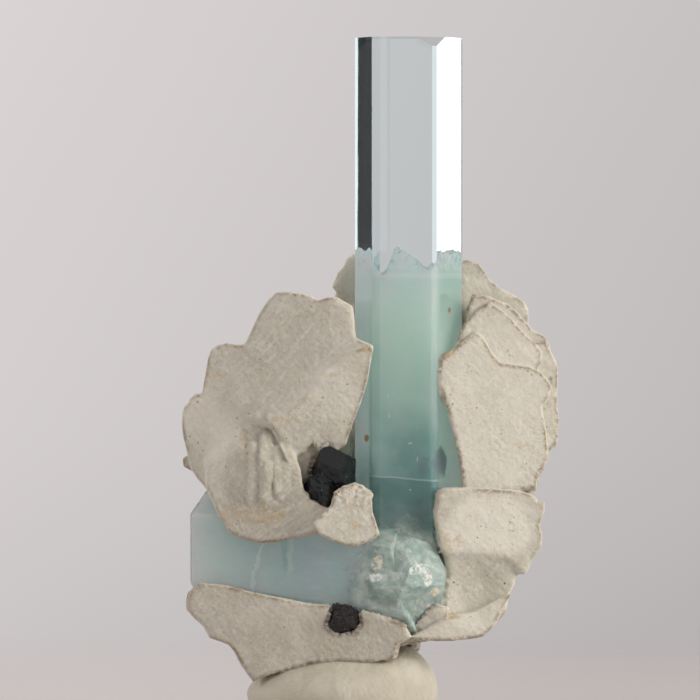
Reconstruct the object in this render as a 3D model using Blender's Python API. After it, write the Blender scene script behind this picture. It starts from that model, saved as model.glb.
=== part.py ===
"""Aquamarine crystals on an albite matrix with black tourmaline, standing in a lump of putty.

A tall hexagonal prism of aquamarine stands in a rosette of white albite blades. A second, thicker prism
lies across below it and both grow from one rough root, so they are one solid. Three black tourmalines sit
in the albite, and a lump of putty with a flat underside holds the specimen upright.

Sizes are in millimetres and become metres when a mesh is made. +X is right, -Y is the front, +Z is up.
Depths are measured from the standing prism's axis. The specimen is then set back onto the putty, whose
flat underside has the origin at its centre.
"""

import math
import random

import bmesh
import bpy
from mathutils import Matrix, Vector

MM = 0.001
GAP = 0.3  # between two pieces that touch
CHUNK_GROWTH = 1.4  # a chunk's faces lie inside its radii, so the radii grow by more than the gap

# The standing prism
UPRIGHT_AXIS = Vector((6.7, 0.0, 0.0))
UPRIGHT_TOP = 68.2
UPRIGHT_FOOT = 13.5
# Each prism face's distance from the axis, by the direction it faces: -90 degrees is the front
UPRIGHT_FACES = {-90: 4.6, -30: 4.55, 30: 4.8, 90: 4.6, 150: 4.7, 210: 5.3}
# Narrow faces that replace the upright edges
UPRIGHT_EDGE_FACES = {-120: 5.45, -60: 5.12, 0: 5.33, 60: 5.44, 120: 4.95, 180: 5.4}
# A small pyramid face at the top's front corner: direction, tilt from level, depth of the cut
UPRIGHT_TOP_FACES = ((-60, 42, 0.62),)

# The lying prism: its left end points back and up
LYING_LEFT_END = Vector((-12.85, 2.4, 17.0))
LYING_LENGTH = 21.5
LYING_YAW = 12.0
LYING_PITCH = 8.6
LYING_END_TURN = 10.0  # how far its left end face turns away from the front
LYING_FACES = {-90: 6.0, -30: 6.0, 30: 6.1, 90: 5.6, 150: 5.9, 210: 5.9}
LYING_EDGE_FACES = {-120: 6.75, -60: 6.85, 0: 6.85, 180: 5.3}
ROOT_CENTRE = Vector((5.6, -3.7, 14.0))
ROOT_RADII = Vector((5.4, 4.9, 5.1))

# The tourmalines: centre, radii and seed of each crystal
TOURMALINE_LARGE = ((Vector((-0.8, -4.1, 25.0)), Vector((2.15, 2.3, 2.4)), 11),
                    (Vector((-2.2, -4.7, 22.9)), Vector((1.7, 1.8, 1.6)), 5))
TOURMALINE_SMALL = ((Vector((0.3, -6.3, 10.3)), Vector((1.75, 1.6, 1.55)), 8),)
TOURMALINE_BEHIND = ((Vector((9.0, 5.4, 25.4)), Vector((1.9, 1.9, 3.6)), 4),)

# The putty
PUTTY_CENTRE = Vector((0.0, 0.8, 2.6))
PUTTY_RADII = Vector((9.5, 9.2, 4.5))
PUTTY_SLOPE = 0.05  # rise of its top per mm to the right
PUTTY_BUMP = Vector((6.6, 0.0, 1.1))  # where the right end swells, and by how much

# Albite blades as seen from the front: the (x, z) corners of the rim, a point (x, y, z) on the front face,
# how far that face goes back per mm to the right and per mm up, and the blade's thickness
FRONT_BLADES = {
    "back_fin": (
        [(1.2, 46.7), (0.5, 46.2), (0.2, 45.4), (-0.4, 44.8), (-0.7, 44.0), (-0.9, 43.4), (-0.5, 42.8),
         (-0.8, 42.0), (-2.0, 39.0), (-2.0, 30.0), (15.8, 30.0), (16.3, 39.0), (14.2, 43.5),
         (13.1, 44.6), (12.2, 44.8), (11.0, 44.2), (9.8, 43.6), (8.3, 43.9), (7.0, 43.4), (5.6, 43.8),
         (4.3, 43.5), (3.0, 44.0), (2.2, 45.6)],
        (6.0, 5.2, 42.0), (0.03, 0.05), 2.4),
    "left_upper": (
        [(1.2, 41.4), (-0.4, 42.2), (-1.4, 42.2), (-2.4, 41.9), (-3.2, 42.4), (-4.2, 42.6),
         (-5.7, 42.8), (-6.5, 42.7), (-7.3, 42.0), (-8.2, 40.5), (-9.2, 38.6), (-9.8, 37.4),
         (-10.8, 34.0), (-11.0, 31.8), (-9.6, 30.2), (-8.0, 29.6), (-7.0, 29.2), (-5.6, 30.1),
         (-4.0, 31.6), (-2.4, 34.2), (1.0, 36.6), (3.0, 37.4), (1.4, 38.2)],
        (-2.0, -6.8, 33.5), (-0.3, 0.18), 3.8),
    "left_bright": (
        [(3.1, 37.4), (2.6, 34.5), (1.8, 31.5), (1.0, 29.5), (0.3, 27.6), (-0.7, 27.1), (-2.2, 26.6),
         (-3.0, 27.9), (-3.7, 26.8), (-4.7, 26.3), (-5.4, 26.3), (-6.4, 28.1), (-7.2, 29.8),
         (-5.6, 30.5), (-4.0, 31.9), (-2.4, 34.4), (1.0, 37.0)],
        (-2.0, -7.0, 33.5), (0.15, -0.4), 3.0),
    "left_middle": (
        [(-9.4, 37.6), (-10.4, 37.5), (-11.6, 37.7), (-12.3, 37.5), (-13.0, 37.0), (-13.4, 36.0),
         (-13.6, 34.5), (-13.9, 32.8), (-14.0, 32.0), (-14.0, 29.0), (-13.2, 27.0), (-10.0, 27.0),
         (-7.0, 30.0), (-7.0, 37.0)],
        (-10.5, -3.9, 33.0), (-0.36, 0.05), 3.0),
    "left_outer": (
        [(-13.7, 32.6), (-14.6, 32.6), (-15.1, 32.2), (-15.3, 31.6), (-15.6, 31.4), (-15.9, 30.6),
         (-15.9, 29.6), (-15.7, 28.0), (-15.5, 27.0), (-15.3, 26.2), (-15.0, 25.0), (-14.3, 24.0),
         (-13.6, 23.2), (-12.6, 21.8), (-9.0, 21.5), (-9.0, 32.0)],
        (-13.5, -2.8, 28.5), (-0.34, -0.05), 3.4),
    "left_knob": (
        [(-15.9, 26.1), (-15.6, 26.4), (-14.9, 26.2), (-14.0, 25.8), (-14.2, 24.6), (-15.3, 25.1),
         (-15.8, 25.4)],
        (-15.0, -1.2, 25.8), (0.1, 0.1), 1.4),
    "column_1": (
        [(-11.0, 27.4), (-10.6, 27.9), (-9.9, 27.8), (-9.6, 27.0), (-9.6, 22.4), (-10.2, 21.8),
         (-11.0, 22.2)],
        (-10.3, -5.0, 24.5), (-0.3, 0.05), 3.0),
    "column_2": (
        [(-9.4, 27.3), (-9.0, 27.9), (-8.3, 27.7), (-8.2, 26.5), (-8.3, 22.0), (-9.0, 21.6),
         (-9.5, 22.2)],
        (-8.9, -5.4, 24.5), (0.2, 0.04), 3.0),
    "column_3": (
        [(-8.1, 28.5), (-7.6, 28.9), (-6.9, 28.4), (-6.8, 26.5), (-7.0, 21.9), (-7.6, 21.5),
         (-8.1, 22.2)],
        (-7.5, -5.8, 24.5), (0.15, 0.05), 3.0),
    "column_4": (
        [(-6.7, 27.5), (-6.1, 27.7), (-5.4, 26.6), (-5.2, 25.0), (-5.5, 22.6), (-6.2, 22.0),
         (-6.7, 22.9)],
        (-6.0, -5.9, 24.5), (0.2, 0.05), 3.0),
    "left_lower": (
        [(-13.6, 24.0), (-13.5, 23.2), (-12.9, 22.0), (-12.4, 20.8), (-11.8, 19.8), (-11.2, 18.8),
         (-9.7, 18.1), (-8.0, 17.8), (-6.2, 17.9), (-4.2, 18.4), (-2.4, 18.8), (-1.0, 20.0),
         (-1.2, 21.2), (-2.0, 21.5), (-3.2, 22.1), (-3.9, 23.6), (-4.2, 25.2), (-4.9, 27.0),
         (-6.0, 29.0), (-8.4, 30.0), (-11.7, 29.0), (-13.7, 26.0)],
        (-7.5, -5.7, 20.5), (-0.2, 0.12), 5.0),
    "front_knob": (
        [(-0.7, 22.8), (0.1, 23.4), (0.8, 23.6), (1.4, 23.7), (2.1, 23.4), (2.8, 23.0), (3.0, 21.0),
         (3.3, 20.0), (3.7, 18.7), (2.6, 18.0), (1.3, 17.5), (-0.2, 17.8), (-1.2, 18.2), (-2.2, 18.8),
         (-2.8, 19.8), (-2.0, 20.6), (-1.0, 21.6)],
        (1.2, -8.4, 20.5), (0.12, 0.2), 4.6),
    "right_back": (
        [(11.4, 45.9), (12.8, 46.0), (13.7, 45.7), (14.3, 44.9), (14.6, 44.2), (15.8, 43.1),
         (17.3, 42.4), (18.2, 41.8), (18.6, 41.2), (18.7, 40.4), (18.6, 39.0), (18.8, 34.0),
         (11.3, 34.0), (11.0, 45.0)],
        (15.0, 1.6, 42.0), (0.16, 0.1), 3.0),
    "right_upper": (
        [(13.0, 42.6), (14.6, 42.4), (15.5, 41.9), (16.5, 41.6), (17.2, 41.0), (18.1, 40.0),
         (19.0, 39.0), (20.3, 38.3), (20.8, 37.4), (20.9, 36.2), (21.0, 34.0), (19.8, 30.0),
         (12.8, 30.0), (12.2, 39.0), (12.5, 41.0)],
        (16.0, -1.7, 38.0), (0.22, 0.12), 2.8),
    "right_outer": (
        [(17.8, 38.0), (20.3, 37.9), (20.8, 37.0), (21.4, 35.8), (21.6, 34.8), (21.5, 33.0),
         (21.5, 31.5), (21.7, 30.0), (21.5, 28.8), (21.6, 28.0), (21.3, 27.3), (20.8, 27.0),
         (20.6, 26.2), (20.1, 25.0), (19.5, 24.4), (19.4, 23.0), (15.8, 22.5), (13.8, 32.0)],
        (19.0, -1.5, 31.0), (0.22, 0), 3.6),
    "right_ledge": (
        [(12.2, 39.6), (13.6, 41.0), (14.6, 41.7), (15.5, 41.2), (16.3, 40.7), (17.0, 39.9),
         (17.8, 39.0), (18.6, 38.2), (19.4, 37.6), (19.9, 36.8), (19.9, 35.8), (19.4, 35.0),
         (18.4, 33.6), (11.8, 33.6), (11.0, 36.8)],
        (15.0, -2.7, 37.5), (0.2, 0.12), 2.2),
    "right_bright": (
        [(9.5, 35.9), (10.5, 36.7), (11.8, 37.8), (13.2, 38.8), (13.8, 38.6), (14.3, 37.7),
         (15.0, 36.5), (15.7, 35.7), (17.3, 35.5), (18.8, 35.3), (19.8, 34.8), (20.7, 33.8),
         (20.9, 33.2), (20.6, 32.2), (19.9, 31.4), (20.3, 29.0), (20.6, 26.4), (20.1, 25.0),
         (19.5, 24.3), (19.4, 23.1), (15.8, 22.8), (12.1, 23.0), (12.0, 24.5), (11.6, 26.5),
         (11.0, 29.0), (10.5, 31.0), (10.0, 32.5), (9.5, 34.0)],
        (14.0, -3.9, 29.0), (0.2, 0.06), 3.4),
    "right_block": (
        [(9.5, 22.8), (9.9, 23.2), (12.8, 23.3), (15.8, 23.1), (17.8, 22.9), (19.2, 22.5),
         (19.4, 21.9), (20.1, 21.8), (20.1, 21.0), (19.8, 20.0), (19.7, 19.2), (20.0, 18.9),
         (19.9, 17.5), (19.5, 16.7), (18.9, 16.0), (18.5, 15.0), (18.1, 14.6), (17.5, 14.8),
         (16.4, 16.2), (13.8, 16.6), (11.8, 16.8), (10.2, 16.4), (9.6, 17.6), (9.3, 19.0),
         (9.2, 21.0)],
        (14.0, -5.0, 19.5), (0.14, -0.06), 5.0),
    "right_lower": (
        [(10.2, 17.5), (17.4, 17.5), (17.5, 14.7), (17.2, 13.6), (16.8, 12.8), (16.2, 11.6),
         (15.6, 10.6), (15.2, 9.6), (14.2, 8.6), (13.0, 8.5), (11.3, 8.2), (9.3, 8.1), (7.8, 8.2),
         (6.8, 8.5), (7.4, 10.0), (10.2, 12.0)],
        (12.5, -4.0, 12.5), (0.12, -0.14), 4.0),
    "right_foot": (
        [(6.7, 8.5), (8.3, 9.3), (10.3, 10.4), (12.8, 10.8), (14.8, 11.8), (16.2, 12.6), (16.9, 12.8),
         (16.2, 11.6), (15.6, 10.6), (15.4, 9.9), (14.2, 8.6), (13.0, 8.4), (11.3, 8.2), (9.3, 8.1),
         (7.8, 8.2)],
        (12.0, -5.9, 9.6), (0.1, 0.12), 3.4),
    "foot_bridge": (
        [(4.2, 9.6), (5.2, 10.2), (6.8, 10.6), (8.2, 11.0), (9.5, 11.7), (10.6, 11.4), (10.2, 9.6),
         (9.2, 8.8), (8.6, 8.0), (7.0, 7.8), (5.6, 7.5), (4.4, 8.2)],
        (6.6, -5.4, 8.8), (0, -0.2), 3.6),
    "bottom_fan": (
        [(-15.5, 11.8), (-15.2, 12.9), (-14.2, 13.8), (-11.7, 13.6), (-9.7, 13.1), (-6.2, 12.3),
         (-3.2, 11.8), (1.8, 11.2), (4.3, 10.6), (6.4, 9.6), (7.0, 8.5), (5.8, 7.9), (5.4, 6.5),
         (3.8, 5.6), (-2.2, 4.6), (-6.7, 4.8), (-8.2, 4.3), (-8.8, 4.0), (-9.3, 4.6), (-10.0, 5.6),
         (-10.6, 6.8), (-11.3, 7.7), (-13.2, 8.4), (-13.9, 9.6), (-14.7, 10.4), (-15.4, 11.2)],
        (-7.0, -5.7, 9.0), (-0.12, -0.26), 3.8),
}

# Albite blades round the sides and back: centre, the way the face looks (turn from +X, lift), roll, width
# and height
REAR_BLADES = {
    "rear_top_left": ((-3.0, 8.0, 37.0), (120, 35), 15, 12.0, 10.5),
    "rear_top_right": ((10.0, 9.2, 38.5), (72, 32), -20, 13.0, 11.0),
    "rear_right": ((15.5, 6.4, 31.0), (32, 8), 10, 12.0, 15.0),
    "rear_middle": ((3.5, 11.8, 30.0), (100, -14), 30, 14.0, 12.0),
    "rear_middle_low": ((1.0, 11.2, 23.0), (84, 18), -10, 15.0, 9.0),
    "rear_left": ((-8.8, 7.2, 29.0), (146, 12), -15, 12.0, 13.0),
    "rear_low_left": ((-6.5, 8.8, 18.5), (122, -24), 20, 13.0, 10.0),
    "rear_low_right": ((10.0, 9.0, 19.0), (60, -22), -10, 13.0, 11.0),
    "rear_low_middle": ((2.0, 9.8, 13.5), (92, -32), 5, 12.0, 8.0),
    "side_left": ((-13.6, 2.6, 28.5), (172, -4), 0, 8.0, 8.5),
    "side_left_top": ((-10.0, 3.4, 34.6), (158, 26), 20, 9.0, 8.0),
    "side_right": ((18.4, 1.4, 22.5), (12, -18), 12, 8.5, 10.5),
    "side_right_top": ((17.6, 3.8, 38.0), (30, 28), 0, 7.0, 8.0),
    "side_right_low": ((14.2, 2.6, 13.0), (18, -36), 40, 8.5, 7.5),
    "side_low_left": ((-11.2, 3.4, 10.8), (150, -28), 80, 6.5, 7.5),
}
REAR_THICKNESS = 2.4
RIM = 0.14  # share of a blade's thickness at its rim
RIM_PLACE = 0.36  # how far the rim lies outwards of the blade's middle, as a share of its thickness
BLADE_SIDES = ((1, 0.97), (-1, 0.80))  # outer and inner side, and its flat face's size against the rim

# The massive albite behind the blades: centre, radii, seed
CORES = ((Vector((5.0, 6.6, 31.0)), Vector((12.5, 4.2, 13.0)), 1),
         (Vector((1.5, 5.2, 17.0)), Vector((14.0, 5.6, 8.8)), 2),
         (Vector((-4.6, 1.6, 31.0)), Vector((6.8, 6.6, 11.2)), 3),
         (Vector((15.4, 3.2, 27.0)), Vector((4.2, 5.6, 13.0)), 6),
         (Vector((12.5, 1.0, 14.5)), Vector((4.6, 5.0, 6.6)), 7),
         (Vector((0.0, 2.6, 9.0)), Vector((8.8, 6.2, 6.0)), 9))


def collection(name):
    """A new collection in the scene."""
    made = bpy.data.collections.new(name)
    bpy.context.scene.collection.children.link(made)
    return made


def add_object(name, mesh, group):
    """An object for a mesh or curve, in a collection."""
    made = bpy.data.objects.new(name, mesh)
    group.objects.link(made)
    return made


def mesh_from(name, bm):
    """A mesh from a bmesh whose points are in millimetres."""
    bmesh.ops.recalc_face_normals(bm, faces=bm.faces)
    bmesh.ops.scale(bm, vec=(MM, MM, MM), verts=bm.verts)
    mesh = bpy.data.meshes.new(name)
    bm.to_mesh(mesh)
    bm.free()
    return mesh


def facing(turn, lift=0.0):
    """The unit vector that looks turn degrees round from +X and lift degrees above level."""
    a, e = math.radians(turn), math.radians(lift)
    return Vector((math.cos(a) * math.cos(e), math.sin(a) * math.cos(e), math.sin(e)))


def cut_flat(bm, normal, point):
    """Cuts off what lies beyond a plane and closes the cut with one face."""
    everything = bm.verts[:] + bm.edges[:] + bm.faces[:]
    cut = bmesh.ops.bisect_plane(bm, geom=everything, dist=1e-5, plane_co=point, plane_no=normal,
                                 clear_outer=True)
    rim = [e for e in cut["geom_cut"] if isinstance(e, bmesh.types.BMEdge)]
    if rim:
        bmesh.ops.edgeloop_fill(bm, edges=rim)


def block(size):
    """A bmesh cube, to be cut down to a crystal."""
    bm = bmesh.new()
    bmesh.ops.create_cube(bm, size=size)
    return bm


def upright_prism(grow):
    """The standing prism, with every face moved out by grow."""
    bm = block(200)
    for turn, distance in {**UPRIGHT_FACES, **UPRIGHT_EDGE_FACES}.items():
        cut_flat(bm, facing(turn), facing(turn) * (distance + grow))
    bmesh.ops.translate(bm, vec=UPRIGHT_AXIS, verts=bm.verts)
    cut_flat(bm, Vector((0, 0, 1)), Vector((0, 0, UPRIGHT_TOP + grow)))
    cut_flat(bm, facing(-100, -78), UPRIGHT_AXIS + Vector((0, 0, UPRIGHT_FOOT - grow)))
    if grow == 0:
        for turn, tilt, distance in UPRIGHT_TOP_FACES:
            outward = facing(turn, tilt)
            corner = max(bm.verts, key=lambda v: v.co.dot(outward)).co.copy()
            cut_flat(bm, outward, corner - outward * distance)
    return bm


def lying_prism(grow):
    """The lying prism, with every face moved out by grow. It is cut along +X and then turned."""
    bm = block(200)
    for turn, distance in {**LYING_FACES, **LYING_EDGE_FACES}.items():
        outward = Vector((0, math.sin(math.radians(turn)), math.cos(math.radians(turn))))
        cut_flat(bm, outward, outward * (distance + grow))
    end_turn, end_drop = math.tan(math.radians(LYING_END_TURN)), math.tan(math.radians(LYING_PITCH))
    cut_flat(bm, Vector((-1, end_turn, -end_drop)).normalized(), Vector((-grow, 0, 0)))
    cut_flat(bm, Vector((1, -0.2, 0.35)).normalized(), Vector((LYING_LENGTH + grow, 0, 0)))
    if grow == 0:
        for lift in (55, -55):
            outward = facing(195, lift)
            corner = max(bm.verts, key=lambda v: v.co.dot(outward)).co.copy()
            cut_flat(bm, outward, corner - outward * 0.35)
    yaw = Matrix.Rotation(math.radians(-LYING_YAW), 4, "Z")
    pitch = Matrix.Rotation(math.radians(LYING_PITCH), 4, "Y")
    bmesh.ops.transform(bm, matrix=Matrix.Translation(LYING_LEFT_END) @ yaw @ pitch, verts=bm.verts)
    return bm


def chunk(centre, radii, seed, cuts=16, shave=(0.80, 0.95)):
    """A broken lump with flat faces: an ellipsoid's tangent planes, each moved in a little."""
    draw = random.Random(seed)
    bm = block(2.0)
    for i in range(cuts):
        height = 1 - 2 * (i + 0.5) / cuts
        turn = i * 137.5 + draw.uniform(-14, 14)
        outward = facing(turn, math.degrees(math.asin(height)))
        cut_flat(bm, outward, outward * draw.uniform(*shave))
    bmesh.ops.scale(bm, vec=radii, verts=bm.verts)
    bmesh.ops.translate(bm, vec=centre, verts=bm.verts)
    return bm


def root_lump(grow):
    """The rough root that both aquamarine prisms grow from."""
    return chunk(ROOT_CENTRE, ROOT_RADII + Vector((grow, grow, grow)), 21, 24)


def putty_lump(grow):
    """The putty: a round lump with a swollen right end, cut flat below."""
    bm = bmesh.new()
    bmesh.ops.create_uvsphere(bm, u_segments=32, v_segments=18, radius=1.0)
    for v in bm.verts:
        x, y, z = v.co
        squared = 1 + 0.10 * (1 - abs(x)) + 0.06 * math.sin(3 * x + 2 * y)
        v.co = Vector((x * PUTTY_RADII.x, y * squared * PUTTY_RADII.y, z * PUTTY_RADII.z)) * (1 + grow / 4.5)
        swell = PUTTY_BUMP.z * math.exp(-(((v.co.x - PUTTY_BUMP.x) / 2.6) ** 2))
        v.co.z += (PUTTY_SLOPE * v.co.x + swell) * max(0.0, min(1.0, 4 * z))
    bmesh.ops.translate(bm, vec=PUTTY_CENTRE, verts=bm.verts)
    if grow == 0:
        cut_flat(bm, Vector((0, 0, -1)), Vector((0, 0, 0)))
    return bm


def broken_line(outline, amount, step, draw):
    """The outline with small teeth: points are added along its long sides and moved in or out a little."""
    made = []
    for i, (x, z) in enumerate(outline):
        after = outline[(i + 1) % len(outline)]
        side = Vector((after[0] - x, after[1] - z))
        made.append((x, z))
        pieces = int(side.length / step)
        for k in range(1, pieces):
            along = side * (k + draw.uniform(-0.25, 0.25)) / pieces
            out = Vector((side.y, -side.x)).normalized() * draw.uniform(-amount, amount)
            made.append((x + along.x + out.x, z + along.y + out.y))
    return made


def blade(name, points, matrix, thickness, group):
    """A blade: a closed 2D outline as its rim, from which both sides taper to smaller flat faces.

    The outer side is nearly as large as the rim and the inner side is much smaller.
    """
    curve = bpy.data.curves.new(name, "CURVE")
    curve.dimensions = "2D"
    curve.fill_mode = "BOTH"
    curve.extrude = RIM * thickness / 2 * MM
    spline = curve.splines.new("POLY")
    spline.points.add(len(points) - 1)
    for point, (u, v) in zip(spline.points, points):
        point.co = (u * MM, v * MM, 0, 1)
    spline.use_cyclic_u = True
    outline = add_object(name + "_outline", curve, group)
    bpy.context.view_layer.update()
    evaluated = outline.evaluated_get(bpy.context.evaluated_depsgraph_get())
    mesh = bpy.data.meshes.new_from_object(evaluated)
    bpy.data.objects.remove(outline)
    bm = bmesh.new()
    bm.from_mesh(mesh)
    bmesh.ops.remove_doubles(bm, verts=bm.verts, dist=1e-6)
    bmesh.ops.dissolve_limit(bm, angle_limit=math.radians(0.5), verts=bm.verts, edges=bm.edges)
    bmesh.ops.recalc_face_normals(bm, faces=bm.faces)
    bm.normal_update()
    middle = sum((v.co for v in bm.verts), Vector()) / len(bm.verts)
    for v in bm.verts:
        v.co.z += RIM_PLACE * thickness * MM
    for side, taper in BLADE_SIDES:
        flat = [f for f in bm.faces if f.normal.z * side > 0.99]
        raised = bmesh.ops.extrude_face_region(bm, geom=flat)
        bmesh.ops.delete(bm, geom=flat, context="FACES_ONLY")
        for v in (g for g in raised["geom"] if isinstance(g, bmesh.types.BMVert)):
            v.co.x = middle.x + (v.co.x - middle.x) * taper
            v.co.y = middle.y + (v.co.y - middle.y) * taper
            v.co.z = side * thickness / 2 * MM
    bmesh.ops.transform(bm, matrix=matrix, verts=bm.verts)
    bmesh.ops.recalc_face_normals(bm, faces=bm.faces)
    bm.to_mesh(mesh)
    bm.free()
    return add_object(name, mesh, group)


def placed(u, v, w, at):
    """The matrix whose axes are u, v and w and whose origin is a point in millimetres."""
    turned = Matrix((u, v, w)).transposed().to_4x4()
    turned.translation = at * MM
    return turned


def front_blade(name, outline, on_face, slope, thickness, group):
    """A blade whose rim fills the outline as seen from the front. A shear along the depth leans it."""
    draw = random.Random(name)
    x, y, z = on_face
    points = [(px - x, pz - z) for px, pz in broken_line(outline, 0.14, 1.9, draw)]
    centre = Vector((x, y + thickness / 2, z))
    leaned = placed(Vector((1, slope[0], 0)), Vector((0, slope[1], 1)), Vector((0, -1, 0)), centre)
    return blade(name, points, leaned, thickness, group)


def rear_blade(name, centre, looks, roll, width, height, group):
    """A blade on a side or the back: an uneven oval with broken edges."""
    draw = random.Random(name)
    w = facing(*looks)
    side = Vector((0, 0, 1)).cross(w).normalized()
    u = side * math.cos(math.radians(roll)) + w.cross(side) * math.sin(math.radians(roll))
    points = []
    for k in range(13):
        turn = 2 * math.pi * (k + draw.uniform(-0.3, 0.3)) / 13
        reach = draw.uniform(0.86, 1.0)
        points.append((math.cos(turn) * reach * width / 2, math.sin(turn) * reach * height / 2))
    at = Vector(centre) - w * REAR_THICKNESS / 2
    teeth = broken_line(points, 0.25, 2.2, draw)
    return blade(name, teeth, placed(u, w.cross(u), w, at), REAR_THICKNESS, group)


def joined(target, others, operation):
    """Applies one exact Boolean of the target with each of the others."""
    for other in others:
        modifier = target.modifiers.new(operation.title(), "BOOLEAN")
        modifier.operation = operation
        modifier.solver = "EXACT"
        modifier.object = other
        bpy.context.view_layer.update()
        evaluated = target.evaluated_get(bpy.context.evaluated_depsgraph_get())
        mesh = bpy.data.meshes.new_from_object(evaluated)
        target.modifiers.clear()
        target.data = mesh
    return target


def largest_body(target):
    """Keeps the largest connected body of a mesh and drops crumbs that a cut left loose."""
    bm = bmesh.new()
    bm.from_mesh(target.data)
    left, bodies = set(bm.verts), []
    while left:
        body, edge = set(), [left.pop()]
        while edge:
            v = edge.pop()
            body.add(v)
            for e in v.link_edges:
                other = e.other_vert(v)
                if other in left:
                    left.remove(other)
                    edge.append(other)
        bodies.append(body)
    bodies.sort(key=len, reverse=True)
    loose = [v for body in bodies[1:] for v in body]
    bmesh.ops.delete(bm, geom=loose, context="VERTS")
    bm.to_mesh(target.data)
    bm.free()


def finish(name, colour, roughness, transmission=0.0):
    """A plain material for one piece."""
    material = bpy.data.materials.new(name)
    material.use_nodes = True
    shader = material.node_tree.nodes["Principled BSDF"]
    shader.inputs["Base Color"].default_value = (*colour, 1.0)
    shader.inputs["Roughness"].default_value = roughness
    shader.inputs["Metallic"].default_value = 0.0
    shader.inputs["Transmission Weight"].default_value = transmission
    shader.inputs["IOR"].default_value = 1.577
    return material


def tourmaline(name, crystals, grow, group):
    """One or two stubby black crystals grown together, with every face moved out by grow."""
    made = []
    for i, (centre, radii, seed) in enumerate(crystals):
        lump = chunk(centre, radii + Vector((grow, grow, grow)), seed, 11, (0.78, 0.92))
        made.append(add_object(f"{name}_{i}", mesh_from(name, lump), group))
    return joined(made[0], made[1:], "UNION")


def albite(helpers):
    """The whole matrix: blades and massive albite joined in one body."""
    bodies = [add_object(f"core_{seed}", mesh_from("core", chunk(centre, radii, seed, 22)), helpers)
              for centre, radii, seed in CORES]
    for name, (outline, on_face, slope, thickness) in FRONT_BLADES.items():
        bodies.append(front_blade(name, outline, on_face, slope, thickness, helpers))
    for name, (centre, looks, roll, width, height) in REAR_BLADES.items():
        bodies.append(rear_blade(name, centre, looks, roll, width, height, helpers))
    return joined(bodies[0], bodies[1:], "UNION")


def main():
    for old in list(bpy.data.objects):
        bpy.data.objects.remove(old)
    specimen, helpers = collection("aquamarine_specimen"), collection("cutters")

    aquamarine = add_object("aquamarine_crystals", mesh_from("upright", upright_prism(0)), specimen)
    lying = add_object("lying", mesh_from("lying", lying_prism(0)), helpers)
    root = add_object("root", mesh_from("root", root_lump(0)), helpers)
    joined(aquamarine, [lying, root], "UNION")
    sockets = [add_object("upright_socket", mesh_from("upright_socket", upright_prism(GAP)), helpers),
               add_object("lying_socket", mesh_from("lying_socket", lying_prism(GAP)), helpers),
               add_object("root_socket", mesh_from("root_socket", root_lump(GAP * CHUNK_GROWTH)), helpers)]

    tourmalines, tourmaline_holes = [], []
    for name, crystals in (("tourmaline_large", TOURMALINE_LARGE), ("tourmaline_small", TOURMALINE_SMALL),
                           ("tourmaline_behind", TOURMALINE_BEHIND)):
        made = tourmaline(name, crystals, 0, helpers)
        made.name = name
        helpers.objects.unlink(made)
        specimen.objects.link(made)
        joined(made, sockets, "DIFFERENCE")
        largest_body(made)
        tourmalines.append(made)
        tourmaline_holes.append(tourmaline(name + "_hole", crystals, GAP * CHUNK_GROWTH, helpers))

    putty = add_object("putty_stand", mesh_from("putty_stand", putty_lump(0)), specimen)
    putty_hollow = add_object("putty_hollow", mesh_from("putty_hollow", putty_lump(GAP)), helpers)

    matrix = albite(helpers)
    matrix.name = "albite_matrix"
    helpers.objects.unlink(matrix)
    specimen.objects.link(matrix)
    joined(matrix, [*sockets, *tourmaline_holes, putty_hollow], "DIFFERENCE")
    largest_body(matrix)

    black = finish("tourmaline", (0.012, 0.013, 0.016), 0.25)
    finishes = {aquamarine: finish("aquamarine", (0.55, 0.78, 0.76), 0.03, 1.0),
                matrix: finish("albite", (0.80, 0.77, 0.69), 0.6),
                putty: finish("putty", (0.80, 0.76, 0.65), 0.8),
                **{piece: black for piece in tourmalines}}
    for piece, material in finishes.items():
        piece.data.materials.clear()
        piece.data.materials.append(material)

    set_back = bpy.data.objects.new("specimen_on_putty", None)
    specimen.objects.link(set_back)
    set_back.location = (0, -PUTTY_CENTRE.y * MM, 0)
    for piece in (aquamarine, matrix, putty, *tourmalines):
        piece.parent = set_back
    for helper in helpers.objects:
        helper.hide_render = True
        helper.display_type = "WIRE"


main()
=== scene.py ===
"""Looks of the aquamarine specimen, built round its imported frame.

The tables give lengths in millimetres along the specimen's own axes, which are across to the right,
deep away from the front, and up. MM turns them into metres.
"""

import logging
import math
from collections.abc import Mapping, Sequence
from dataclasses import dataclass, replace
from enum import Enum
from functools import reduce

import bmesh
import bpy
import numpy as np
from mathutils import Euler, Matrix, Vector
from mathutils.bvhtree import BVHTree
from mathutils.kdtree import KDTree

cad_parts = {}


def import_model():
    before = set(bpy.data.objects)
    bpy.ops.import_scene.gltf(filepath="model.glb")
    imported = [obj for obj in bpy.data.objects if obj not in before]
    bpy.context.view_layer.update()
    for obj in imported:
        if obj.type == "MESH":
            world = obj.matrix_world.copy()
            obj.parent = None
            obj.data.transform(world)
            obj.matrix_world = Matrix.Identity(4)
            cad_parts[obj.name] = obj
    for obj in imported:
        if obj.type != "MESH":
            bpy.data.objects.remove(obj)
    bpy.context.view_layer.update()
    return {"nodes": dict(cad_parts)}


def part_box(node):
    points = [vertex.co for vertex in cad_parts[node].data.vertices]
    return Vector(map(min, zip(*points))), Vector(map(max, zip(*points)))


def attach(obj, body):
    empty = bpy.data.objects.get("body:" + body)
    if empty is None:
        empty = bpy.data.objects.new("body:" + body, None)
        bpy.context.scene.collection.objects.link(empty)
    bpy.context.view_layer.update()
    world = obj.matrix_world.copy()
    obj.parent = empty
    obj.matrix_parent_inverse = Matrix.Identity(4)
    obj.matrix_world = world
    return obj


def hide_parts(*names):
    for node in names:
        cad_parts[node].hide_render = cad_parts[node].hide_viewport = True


MM = 0.001
BODY = "root"
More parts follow.
